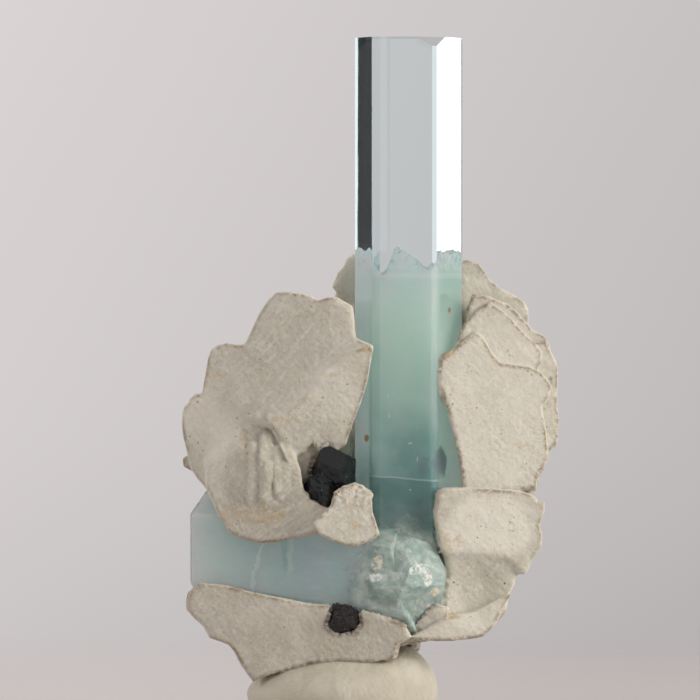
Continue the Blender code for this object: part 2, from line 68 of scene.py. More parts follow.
LOG = logging.getLogger("specimen")

Pair = tuple[float, float]
Triple = tuple[float, float, float]
Stops = tuple[tuple[float, Triple], ...]


class Slot(Enum):
    """The record's material slots."""

    AQUAMARINE = "aquamarine"
    ALBITE = "albite"
    TOURMALINE = "tourmaline"
    PUTTY = "putty"


class Grain(Enum):
    """Kinds of relief that a Displace modifier can press into a surface."""

    CLOUDY = ("CLOUDS", {"noise_basis": "IMPROVED_PERLIN", "noise_depth": 3})
    CRYSTALLINE = ("CLOUDS", {"noise_basis": "VORONOI_F2_F1", "noise_depth": 1})
    LUMPY = ("CLOUDS", {"noise_basis": "VORONOI_F1", "noise_depth": 1})


# ---------------------------------------------------------------- shader trees


class Signal:
    """A number that comes out of a node. Arithmetic on it adds Math nodes.

    Attributes:
        tree: The tree that the node is in.
        socket: The node's output.
    """

    CORE = 0.3  # Part of a line's half width that is at full strength.

    def __init__(self, tree: "ShaderTree", socket: bpy.types.NodeSocket) -> None:
        """Wraps an output of one of the tree's nodes."""
        self.tree = tree
        self.socket = socket

    def __add__(self, other: "Signal | float") -> "Signal":
        """Sum."""
        return self.tree.math("ADD", self, other)

    def __sub__(self, other: "Signal | float") -> "Signal":
        """Difference."""
        return self.tree.math("SUBTRACT", self, other)

    def __rsub__(self, other: float) -> "Signal":
        """Difference with a plain number first."""
        return self.tree.math("SUBTRACT", other, self)

    def __mul__(self, other: "Signal | float") -> "Signal":
        """Product."""
        return self.tree.math("MULTIPLY", self, other)

    __radd__ = __add__
    __rmul__ = __mul__

    def top(self, other: "Signal | float") -> "Signal":
        """The larger of the two."""
        return self.tree.math("MAXIMUM", self, other)

    def held(self, reach: float) -> "Signal":
        """The value, kept within that far from 0."""
        return self.tree.math("MINIMUM", self.top(-reach), reach)

    def within(self, reach: float) -> "Signal":
        """1 where the value is 0, and falls to 0 where it is that far from it."""
        return self.top(self * -1).step(reach, self.CORE * reach)

    def step(self, low: float, high: float) -> "Signal":
        """A smooth climb of the value, or a fall where high is the smaller.

        Args:
            low: Where it is still 0.
            high: Where it has reached 1.

        Returns:
            A number from 0 to 1.
        """
        made = self.tree.node(
            "ShaderNodeMapRange",
            {"interpolation_type": "SMOOTHSTEP"},
            {"Value": self, "From Min": low, "From Max": high},
        )
        return Signal(self.tree, made.outputs["Result"])


class ShaderTree:
    """The nodes of a material or of the air, written as expressions.

    Attributes:
        owner: The material or world.
        graph: Its node tree.
        place: Where each point is, in object coordinates and millimetres for a material.
    """

    SPOT_EDGE: Pair = (1.15, 0.75)  # Parts of an ellipsoid's radius between which its mask climbs.
    SPECK_CORE = 0.5  # Part of a speck's radius that is at full strength.
    PICK_CORE = 0.9  # Part of the chosen cells whose specks are at full strength.

    def __init__(
        self,
        owner: bpy.types.Material | bpy.types.World,
        coordinates: str = "Object",
        unit: float = MM,
    ) -> None:
        """Clears the owner's nodes and reads the coordinates.

        Args:
            owner: The material or world.
            coordinates: The kind of coordinates.
            unit: The length that counts as 1.
        """
        self.owner = owner
        owner.use_nodes = True
        self.graph = owner.node_tree
        self.graph.nodes.clear()
        place = self.node("ShaderNodeTexCoord").outputs[coordinates]
        self.place = self.vector("SCALE", place, scale=1 / unit)

    def node(
        self,
        kind: str,
        settings: Mapping[str, object] | None = None,
        inputs: Mapping[str | int, object] | None = None,
    ) -> bpy.types.Node:
        """Adds a node.

        Args:
            kind: Its type, such as "ShaderNodeTexNoise".
            settings: Its properties, set first. "stops" fills a colour ramp.
            inputs: Its sockets' values or links, by name or number.

        Returns:
            The node.
        """
        made = self.graph.nodes.new(kind)
        for key, value in (settings or {}).items():
            if key == "stops":
                self._fill_ramp(made.color_ramp, value)
            else:
                setattr(made, key, value)
        for key, value in (inputs or {}).items():
            self._feed(made.inputs[key], value)
        return made

    def _feed(self, socket: bpy.types.NodeSocket, value: object) -> None:
        """Feeds an input.

        Args:
            socket: The input.
            value: A signal or an output, which is linked, or the input's own value.
        """
        if isinstance(value, Signal):
            self.graph.links.new(value.socket, socket)
        elif isinstance(value, bpy.types.NodeSocket):
            self.graph.links.new(value, socket)
        else:
            socket.default_value = value

    @staticmethod
    def _fill_ramp(ramp: bpy.types.ColorRamp, stops: Stops) -> None:
        """Gives a colour ramp its stops.

        Args:
            ramp: The ramp.
            stops: A position and a colour for each.
        """
        while len(ramp.elements) < len(stops):
            ramp.elements.new(1.0)
        for element, (position, colour) in zip(ramp.elements, stops):
            element.position = position
            element.color = (*colour, 1.0)

    def math(self, operation: str, first: "Signal | float", second: "Signal | float" = 0.0) -> Signal:
        """One Math node."""
        made = self.node("ShaderNodeMath", {"operation": operation}, {0: first, 1: second})
        return Signal(self, made.outputs[0])

    def vector(
        self,
        operation: str,
        first: bpy.types.NodeSocket,
        second: bpy.types.NodeSocket | Triple | None = None,
        scale: float | None = None,
    ) -> bpy.types.NodeSocket:
        """One Vector Math node that gives a vector.

        Args:
            operation: What it does.
            first: Its first vector.
            second: Its second vector, if it takes one.
            scale: Its factor, if it takes one.

        Returns:
            The vector.
        """
        inputs: dict[str | int, object] = {0: first}
        if second is not None:
            inputs[1] = second
        if scale is not None:
            inputs["Scale"] = scale
        return self.node("ShaderNodeVectorMath", {"operation": operation}, inputs).outputs[0]

    def measure(
        self,
        operation: str,
        first: bpy.types.NodeSocket,
        second: bpy.types.NodeSocket | Triple = (0.0, 0.0, 0.0),
    ) -> Signal:
        """One Vector Math node that gives a number."""
        made = self.node("ShaderNodeVectorMath", {"operation": operation}, {0: first, 1: second})
        return Signal(self, made.outputs["Value"])

    def axes(self) -> tuple[Signal, Signal, Signal]:
        """The three coordinates: across, deep and up."""
        made = self.node("ShaderNodeSeparateXYZ", None, {0: self.place})
        return tuple(Signal(self, socket) for socket in made.outputs)

    def turned(self, stretch: Triple, degrees: Triple = (0.0, 0.0, 0.0)) -> bpy.types.NodeSocket:
        """Coordinates turned and then squeezed, for a pattern with a direction.

        Args:
            stretch: What each coordinate is multiplied by: a small factor draws the pattern out.
            degrees: How far they are turned first.

        Returns:
            The coordinates.
        """
        radians = [math.radians(angle) for angle in degrees]
        turn = self.node("ShaderNodeMapping", None, {"Vector": self.place, "Rotation": radians})
        return self.vector("MULTIPLY", turn.outputs[0], stretch)

    def noise(
        self,
        size: float,
        detail: float = 3.0,
        roughness: float = 0.5,
        at: bpy.types.NodeSocket | None = None,
    ) -> Signal:
        """Cloudy noise.

        Args:
            size: About how far it is from lump to lump.
            detail: How many finer layers it has.
            roughness: How strong the finer layers are.
            at: Its coordinates, if they aren't plain ones.

        Returns:
            A number from 0 to 1.
        """
        made = self.node(
            "ShaderNodeTexNoise",
            {"noise_dimensions": "3D", "normalize": True},
            {
                "Vector": at or self.place,
                "Scale": 1 / size,
                "Detail": detail,
                "Roughness": roughness,
            },
        )
        return Signal(self, made.outputs["Fac"])

    def _voronoi(self, size: float, at: bpy.types.NodeSocket | None = None) -> bpy.types.Node:
        """A Voronoi node whose cells are of that size."""
        inputs = {"Vector": at or self.place, "Scale": 1 / size}
        return self.node("ShaderNodeTexVoronoi", {"feature": "F1"}, inputs)

    def cells(self, size: float, at: bpy.types.NodeSocket | None = None) -> Signal:
        """How far each point is from the middle of its Voronoi cell, in cells of that size."""
        return Signal(self, self._voronoi(size, at).outputs["Distance"])

    def specks(self, spacing: float, radius: float, share: float) -> Signal:
        """Small round specks.

        Args:
            spacing: The size of the Voronoi cells, each of which has room for one.
            radius: A speck's radius.
            share: The part of the cells that have one.

        Returns:
            The mask.
        """
        made = self._voronoi(spacing)
        size = radius / spacing
        near = Signal(self, made.outputs["Distance"]).step(size, self.SPECK_CORE * size)
        number = self.node("ShaderNodeSeparateColor", None, {0: made.outputs["Color"]})
        return near * Signal(self, number.outputs[0]).step(share, share * self.PICK_CORE)

    def spot(self, centre: Triple, radii: Triple, ragged: float = 0.0, grain: float = 0.5) -> Signal:
        """An ellipsoid that is 1 inside and falls to 0 outside.

        Args:
            centre: Its middle.
            radii: Its half sizes.
            ragged: How far noise moves its edge, in parts of its radius.
            grain: The size of that noise.

        Returns:
            The mask.
        """
        offset = self.vector("SUBTRACT", self.place, centre)
        distance = self.measure("LENGTH", self.vector("DIVIDE", offset, radii))
        if ragged:
            distance = distance + (self.noise(grain) - 0.5) * (2 * ragged)
        return distance.step(*self.SPOT_EDGE)

    def attribute(self, name: str) -> Signal:
        """A number stored on the mesh's own points."""
        made = self.node("ShaderNodeAttribute", {"attribute_name": name})
        return Signal(self, made.outputs["Fac"])

    def blend(
        self,
        factor: "Signal | float",
        first: bpy.types.NodeSocket | Triple,
        second: bpy.types.NodeSocket | Triple,
    ) -> bpy.types.NodeSocket:
        """Mixes two colours.

        Args:
            factor: 0 for the first and 1 for the second.
            first: The first colour.
            second: The second colour.

        Returns:
            The mixed colour.
        """
        colours = [(*c, 1.0) if isinstance(c, tuple) else c for c in (first, second)]
        made = self.node(
            "ShaderNodeMix",
            {"data_type": "RGBA", "blend_type": "MIX", "clamp_factor": True},
            {0: factor, 6: colours[0], 7: colours[1]},
        )
        return made.outputs[2]

    def ramp(self, value: Signal, stops: Stops) -> bpy.types.NodeSocket:
        """A colour ramp."""
        return self.node("ShaderNodeValToRGB", {"stops": stops}, {0: value}).outputs[0]

    def bump(self, height: Signal, depth: float, strength: float) -> bpy.types.NodeSocket:
        """A normal bent by a height from 0 to 1.

        Args:
            height: The height.
            depth: The millimetres that a height of 1 stands for.
            strength: How much of the bending is kept.

        Returns:
            The normal.
        """
        inputs = {"Strength": strength, "Distance": depth * MM, "Height": height}
        return self.node("ShaderNodeBump", None, inputs).outputs[0]

    def principled(self, inputs: Mapping[str, object]) -> bpy.types.NodeSocket:
        """A Principled shader.

        Args:
            inputs: Its sockets' values or links by name.

        Returns:
            The shader.
        """
        plain = {
            key: (*value, 1.0) if key == "Base Color" and isinstance(value, tuple) else value
            for key, value in inputs.items()
        }
        return self.node("ShaderNodeBsdfPrincipled", None, plain).outputs[0]

    def mix(
        self, factor: Signal, first: bpy.types.NodeSocket, second: bpy.types.NodeSocket
    ) -> bpy.types.NodeSocket:
        """Mixes two shaders: 0 for the first and 1 for the second."""
        return self.node("ShaderNodeMixShader", None, {0: factor, 1: first, 2: second}).outputs[0]

    def finish(
        self, surface: bpy.types.NodeSocket, volume: bpy.types.NodeSocket | None = None
    ) -> bpy.types.Material:
        """Links the output node.

        Args:
            surface: The shader of the surface.
            volume: The shader of the inside, if it has one.

        Returns:
            The material.
        """
        links: dict[str | int, object] = {"Surface": surface}
        if volume is not None:
            links["Volume"] = volume
        self.node("ShaderNodeOutputMaterial", None, links)
        return self.owner


# -------------------------------------------------------------------- finishes


@dataclass(frozen=True)
class Patch:
    """A colour laid over one place.

    Attributes:
        centre: Its middle.
        radii: Its half sizes.
        colour: The colour.
        amount: How much of it covers what is below.
    """

    centre: Triple
    radii: Triple
    colour: Triple
    amount: float = 1.0

    def lay(
        self,
        tree: ShaderTree,
        below: bpy.types.NodeSocket | Triple,
        ragged: float,
        grain: float,
        mask: Signal | None = None,
    ) -> bpy.types.NodeSocket:
        """Lays the patch over another colour.

        Args:
            tree: The material's tree.
            below: The colour below.
            ragged: How far noise moves the patch's edge, in parts of its radius.
            grain: The size of that noise.
            mask: Where the patch may show, if not everywhere.

        Returns:
            The two colours together.
        """
        cover = tree.spot(self.centre, self.radii, ragged, grain) * self.amount
        if mask is not None:
            cover = cover * mask
        return tree.blend(cover, below, self.colour)


@dataclass(frozen=True)
class CrystalFinish:
    """Clear glassy beryl, hazy low down and rough and mottled where the crystals root together.

    Attributes:
        refraction: Beryl's index of refraction.
        absorbed: The colour that light takes on inside.
        absorption: How fast it takes it on.
        striated: Places across between which the fine striae fade.
        root: Middle of the rough root.
        root_radii: Its half sizes.
        ice_shade: The root's darker colour.
        ice_light: Its lighter colour.
        painted_sparkle: Painted glints: bright specks that stand in for sparkles on its grains.
        haze_top: Heights between which the haze of the lower faces fades.
        haze: How strong that haze is.
        crumbs: Albite and rust that stick to the root.
    """

    refraction: float = 1.577
    absorbed: Triple = (0.71, 0.88, 0.923)
    absorption: float = 60.0
    striated: Pair = (4.2, 3.6)
    root: Triple = (5.9, -4.6, 13.6)
    root_radii: Triple = (5.6, 6.0, 6.0)
    ice_shade: Triple = (0.30, 0.40, 0.365)
    ice_light: Triple = (0.50, 0.575, 0.52)
    painted_sparkle: Triple = (0.86, 0.88, 0.84)
    haze_top: Pair = (44.6, 43.6)
    haze: float = 0.06
    crumbs: tuple[Patch, ...] = (
        Patch((3.5, -8.0, 15.9), (0.5, 3.0, 1.0), (0.80, 0.76, 0.62)),
        Patch((3.2, -8.0, 14.4), (0.7, 3.0, 0.5), (0.84, 0.87, 0.83)),
        Patch((7.7, -8.0, 15.3), (1.1, 3.0, 0.7), (0.78, 0.80, 0.73)),
        Patch((8.5, -7.5, 14.2), (0.5, 3.0, 0.8), (0.80, 0.81, 0.74)),
        Patch((9.2, -7.0, 13.0), (0.5, 3.0, 0.5), (0.82, 0.76, 0.60)),
        Patch((8.7, -7.0, 11.2), (0.35, 3.0, 0.6), (0.82, 0.78, 0.64)),
        Patch((7.7, -7.0, 9.6), (1.1, 3.0, 0.7), (0.66, 0.73, 0.68)),
        Patch((5.2, -8.0, 18.0), (0.25, 3.0, 0.2), (0.55, 0.40, 0.22)),
    )

    def build(self) -> bpy.types.Material:
        """Makes the material.

        Returns:
            The material.
        """
        tree = ShaderTree(bpy.data.materials.new("aquamarine"))
        _, _, up = tree.axes()
        mottle = tree.noise(1.3, 5.0, 0.62)
        root = tree.spot(self.root, self.root_radii, 0.35, 2.2) * (mottle * 0.28 + 0.80)
        share = root.top(up.step(*self.haze_top) * self.haze)
        surface = tree.mix(share, self._clear(tree), self._cloudy(tree, mottle))
        volume = tree.node(
            "ShaderNodeVolumeAbsorption",
            None,
            {"Color": (*self.absorbed, 1.0), "Density": self.absorption},
        )
        return tree.finish(surface, volume.outputs[0])

    def _clear(self, tree: ShaderTree) -> bpy.types.NodeSocket:
        """The polished faces.

        Args:
            tree: The material's tree.

        Returns:
            The shader.
        """
        across, _, _ = tree.axes()
        striae = tree.noise(0.3, 4.0, 0.6, tree.turned((1.0, 1.0, 0.02)))
        return tree.principled(
            {
                "Base Color": (1.0, 1.0, 1.0),
                "Roughness": 0.015,
                "IOR": self.refraction,
                "Transmission Weight": 1.0,
                "Normal": tree.bump(striae * (across.step(*self.striated) + 0.15), 0.03, 0.3),
            }
        )

    def _cloudy(self, tree: ShaderTree, mottle: Signal) -> bpy.types.NodeSocket:
        """The crumbled icy root.

        Args:
            tree: The material's tree.
            mottle: Noise that tells its light patches from its dark ones.

        Returns:
            The shader.
        """
        ice = tree.blend(mottle.step(0.35, 0.68), self.ice_shade, self.ice_light)
        broken = tree.noise(0.45, 6.0, 0.8).step(0.45, 0.53)
        for crumb in self.crumbs:
            ice = crumb.lay(tree, ice, 1.0, 0.8, broken)
        # Painted glints: bright specks standing in for sparkles.
        ice = tree.blend(tree.specks(0.45, 0.08, 0.16) * 0.8, ice, self.painted_sparkle)
        return tree.principled(
            {
                "Base Color": ice,
                "Roughness": 0.3,
                "IOR": self.refraction,
                "Subsurface Weight": 0.6,
                "Subsurface Radius": (0.7, 1.0, 0.95),
                "Subsurface Scale": MM,
                "Normal": tree.bump(tree.noise(0.5, 6.0, 0.75), 0.16, 1.0),
            }
        )


@dataclass(frozen=True)
class CloudFinish:
    """The milky teal filling of the crystals' lower parts, with its cracks, stains and flecks.

    The standing crystals' filling is dark at its foot and pale above a level crack. The lying
    crystal's filling is grey and veiled.

    Attributes:
        levels: The standing filling's colours and their heights; the darkening towards the foot is
            partly deeper colour and partly painted shade.
        left_side: Places across between which the left face begins.
        right_side: Places across between which the right face begins.
        crack_height: Height of the level crack.
        crack: The crack's glint.
        pale: The front face just above it.
        painted_light_left: Painted light that makes up for the shade on the left face.
        painted_light_right: Painted light that does the same on the right face's lower part.
        painted_shade_upper_right: Painted shade that darkens the right face's upper part, where the
            key light falls.
        line_height: Height of the bright line below the crest.
        line: Its colour.
        shadows: Dark places behind the front face, each with its grain and amount.
        shadow: Their colour.
        broken: Heights between which the broken crest begins.
        broken_light: The crest's bright shards.
        broken_shade: Its dark ones.
        lying_left: The lying filling's left end.
        lying_right: Its right end.
        band: Bands along it.
        veil: A pale slanting veil in it.
        streaks: Streaks across it, each a place across, half a width, the heights between which it
            begins, an amount and a colour.
        lilac: A tinted patch.
        edge: The glint of its upper and lower edges.
        thread: Fine threads along it.
        milk: Clouds in all of the filling.
        rust: Rusty specks inside.
        glints: Short bright marks inside.
        fleck: White flecks.
        grit: Dark grit.
    """

    levels: Stops = (
        (17.0, (0.095, 0.28, 0.26)),
        (23.9, (0.12, 0.33, 0.31)),
        (24.2, (0.165, 0.40, 0.375)),
        (28.0, (0.27, 0.50, 0.455)),
        (32.0, (0.53, 0.75, 0.68)),
        (38.0, (0.68, 0.88, 0.79)),
        (42.0, (0.76, 0.94, 0.86)),
        (44.6, (0.72, 0.92, 0.86)),
    )
    left_side: Pair = (3.0, 2.6)
    right_side: Pair = (9.2, 9.9)
    crack_height: float = 24.1
    crack: Triple = (0.74, 0.90, 0.87)
    pale: Triple = (0.62, 0.86, 0.81)
    painted_light_left: Triple = (0.80, 1.0, 0.91)
    painted_light_right: Triple = (0.76, 0.95, 0.87)
    painted_shade_upper_right: Triple = (0.45, 0.66, 0.58)
    line_height: float = 44.4
    line: Triple = (0.88, 0.99, 0.96)
    shadows: tuple[tuple[Triple, Triple, float, float], ...] = (
        ((9.6, -3.8, 25.8), (0.9, 2.0, 1.6), 1.0, 1.0),
        ((9.2, -4.0, 22.6), (0.6, 1.6, 0.7), 0.8, 0.8),
        ((8.0, -4.5, 25.4), (1.3, 1.0, 1.7), 0.9, 0.6),
    )
    shadow: Triple = (0.10, 0.18, 0.23)
    broken: Pair = (44.6, 45.3)
    broken_light: Triple = (0.92, 1.0, 0.97)
    broken_shade: Triple = (0.26, 0.42, 0.40)
    lying_left: Triple = (0.78, 0.90, 0.86)
    lying_right: Triple = (0.56, 0.75, 0.735)
    band: Triple = (0.58, 0.69, 0.75)
    veil: Triple = (0.84, 1.0, 0.95)
    streaks: tuple[tuple[float, float, Pair, float, Triple], ...] = (
        (-5.7, 0.4, (14.6, 15.8), 0.6, (0.36, 0.60, 0.57)),
        (-5.1, 0.3, (14.2, 15.4), 0.5, (0.86, 0.95, 0.92)),
    )
    lilac: Patch = Patch((-2.9, -6.0, 16.0), (1.6, 4.0, 1.9), (0.62, 0.70, 0.78), 0.35)
    edge: Triple = (0.92, 1.0, 1.0)
    thread: Triple = (0.86, 0.98, 0.95)
    milk: Triple = (0.95, 0.99, 0.97)
    rust: tuple[Patch, ...] = (
        Patch((2.6, -3.0, 28.2), (0.34, 1.6, 0.52), (0.62, 0.30, 0.13), 0.95),
        Patch((10.6, -2.2, 41.0), (0.2, 1.0, 0.34), (0.62, 0.30, 0.13), 0.95),
    )
    glints: tuple[Patch, ...] = (
        Patch((4.7, -4.6, 30.5), (0.1, 1.0, 0.35), (0.90, 1.0, 0.97), 0.6),
        Patch((4.6, -4.6, 32.5), (0.1, 1.0, 0.25), (0.90, 1.0, 0.97), 0.6),
        Patch((6.8, -4.6, 27.7), (0.3, 1.0, 0.14), (0.90, 1.0, 0.97), 0.6),
        Patch((7.5, -4.6, 26.1), (0.1, 1.0, 0.35), (0.90, 1.0, 0.97), 0.6),
    )
    fleck: Triple = (0.98, 0.99, 0.97)
    grit: Triple = (0.16, 0.15, 0.12)

    def build(self) -> bpy.types.Material:
        """Makes the material.

        Returns:
            The material.
        """
        tree = ShaderTree(bpy.data.materials.new("aquamarine_cloud"))
        across, _, up = tree.axes()
        drift = tree.noise(2.4, 3.0, 0.5)
        upright = (up + (tree.noise(1.5) - 0.5) * 1.2).step(17.6, 19.4) * across.step(0.9, 1.3)
        standing = self._crest(tree, self._faces(tree, self._core(tree)), drift)
        colour = tree.blend(upright, self._lying(tree), standing)
        colour = tree.blend(drift.step(0.35, 0.75) * 0.16, colour, self.milk)
        for speck in self.rust:
            colour = speck.lay(tree, colour, 0.25, 0.4)
        for glint in self.glints:
            colour = glint.lay(tree, colour, 0.5, 0.3)
        flecks = tree.specks(1.7, 0.09, 0.10).top(tree.specks(0.55, 0.11, 0.25) * up.step(44.7, 45.0))
        colour = tree.blend(flecks * 0.9, colour, self.fleck)
        colour = tree.blend(tree.specks(1.9, 0.08, 0.10) * 0.8, colour, self.grit)
        skin = tree.principled(
            {
                "Base Color": colour,
                "Roughness": 0.55,
                "Subsurface Weight": 1.0,
                "Subsurface Radius": (0.6, 1.0, 0.95),
                "Subsurface Scale": 6 * MM,
                "Normal": tree.bump(tree.noise(0.6, 5.0, 0.6), 0.08, 0.5),
            }
        )
        return tree.finish(skin)

    def _core(self, tree: ShaderTree) -> bpy.types.NodeSocket:
        """The standing filling's colours by height, with the level crack.

        Args:
            tree: The material's tree.

        Returns:
            The colour.
        """
        across, _, up = tree.axes()
        level = up + across * 0.075 + (tree.noise(2.0) - 0.5) * 0.5 - 0.6
        low, high = self.levels[0][0], self.levels[-1][0]
        stops = tuple(((height - low) / (high - low), colour) for height, colour in self.levels)
        # Darker towards the foot: partly deeper colour, partly painted shade.
        colour = tree.ramp((level - low) * (1 / (high - low)), stops)
        crack = (level - self.crack_height).within(0.14)
        colour = tree.blend(crack * 0.5, colour, self.crack)
        pale = across.step(6.4, 3.4) * level.step(24.0, 24.4) * up.step(32.0, 28.0)
        return tree.blend(pale * 0.35, colour, self.pale)

    def _faces(self, tree: ShaderTree, colour: bpy.types.NodeSocket) -> bpy.types.NodeSocket:
        """Paints light and shade on the standing crystal's side faces, to even out how the light
        falls on them.

        Args:
            tree: The material's tree.
            colour: The colour so far.

        Returns:
            The colour.
        """
        across, _, up = tree.axes()
        # Painted light on the left face and the right face's lower part, which lie in shade; painted
        # shade on the right face's upper part, where the key light falls.
        right = across.step(*self.right_side)
        shaded = right * (up.step(43.0, 35.0) * 0.55 + up.step(31.0, 26.5) * 0.3)
        colour = tree.blend(shaded, colour, self.painted_light_right)
        shaded = across.step(*self.left_side) * (up.step(42.0, 34.0) * 0.13 + 0.85)
        colour = tree.blend(shaded, colour, self.painted_light_left)
        return tree.blend(right * up.step(36.0, 43.0) * 0.65, colour, self.painted_shade_upper_right)

    def _crest(
        self, tree: ShaderTree, colour: bpy.types.NodeSocket, drift: Signal
    ) -> bpy.types.NodeSocket:
        """The bright line below the crest, the shadows behind the front and the crest's shards.

        Args:
            tree: The material's tree.
            colour: The colour so far.
            drift: Noise that the line follows.

        Returns:
            The colour.
        """
        across, _, up = tree.axes()
        line = (up - self.line_height + (drift - 0.5) * 0.5).within(0.45) * across.step(3.0, 3.6)
        colour = tree.blend(line * (across.step(8.6, 5.6) * 0.45 + 0.3), colour, self.line)
        dark = [
            tree.spot(centre, radii, 0.5, grain) * amount
            for centre, radii, grain, amount in self.shadows
        ]
        colour = tree.blend(reduce(Signal.top, dark) * 0.75, colour, self.shadow)
        shards, broken = tree.noise(0.6, 5.0, 0.75), up.step(*self.broken)
        colour = tree.blend(shards.step(0.40, 0.60) * broken * 0.5, colour, self.broken_light)
        return tree.blend(shards.step(0.46, 0.34) * broken * 0.5, colour, self.broken_shade)

    def _lying(self, tree: ShaderTree) -> bpy.types.NodeSocket:
        """The lying crystal's filling.

        Args:
            tree: The material's tree.

        Returns:
            The colour.
        """
        across, _, up = tree.axes()
        bands = tree.noise(2.2, 3.0, 0.5, tree.turned((1.0, 0.5, 0.12)))
        colour = tree.blend(across.step(-14.5, -4.0), self.lying_left, self.lying_right)
        colour = tree.blend(bands.step(0.40, 0.72) * 0.35, colour, self.band)
        wander = (tree.noise(1.2) - 0.5) * 1.3 + (tree.noise(0.35) - 0.5) * 0.3
        veil = (across + (18.0 - up) * 0.2 + 7.95 + wander).within(0.24) * up.step(12.4, 13.4)
        colour = tree.blend(veil * 0.85, colour, self.veil)
        for place, reach, heights, amount, tint in self.streaks:
            streak = (across - place + wander).within(reach) * up.step(*heights)
            colour = tree.blend(streak * amount, colour, tint)
        colour = self.lilac.lay(tree, colour, 0.3, 1.5)
        lower = (up - 13.1 + (across + 14.2) * 0.177).within(0.3)
        upper = (up - 20.55 + (across + 14.0) * 0.12).within(0.16) * across.step(-12.4, -12.9)
        colour = tree.blend(lower.top(upper) * 0.85, colour, self.edge)
        threads = tree.noise(0.5, 4.0, 0.7, tree.turned((0.14, 1.0, 1.0)))
        return tree.blend(threads.step(0.48, 0.66) * 0.22, colour, self.thread)


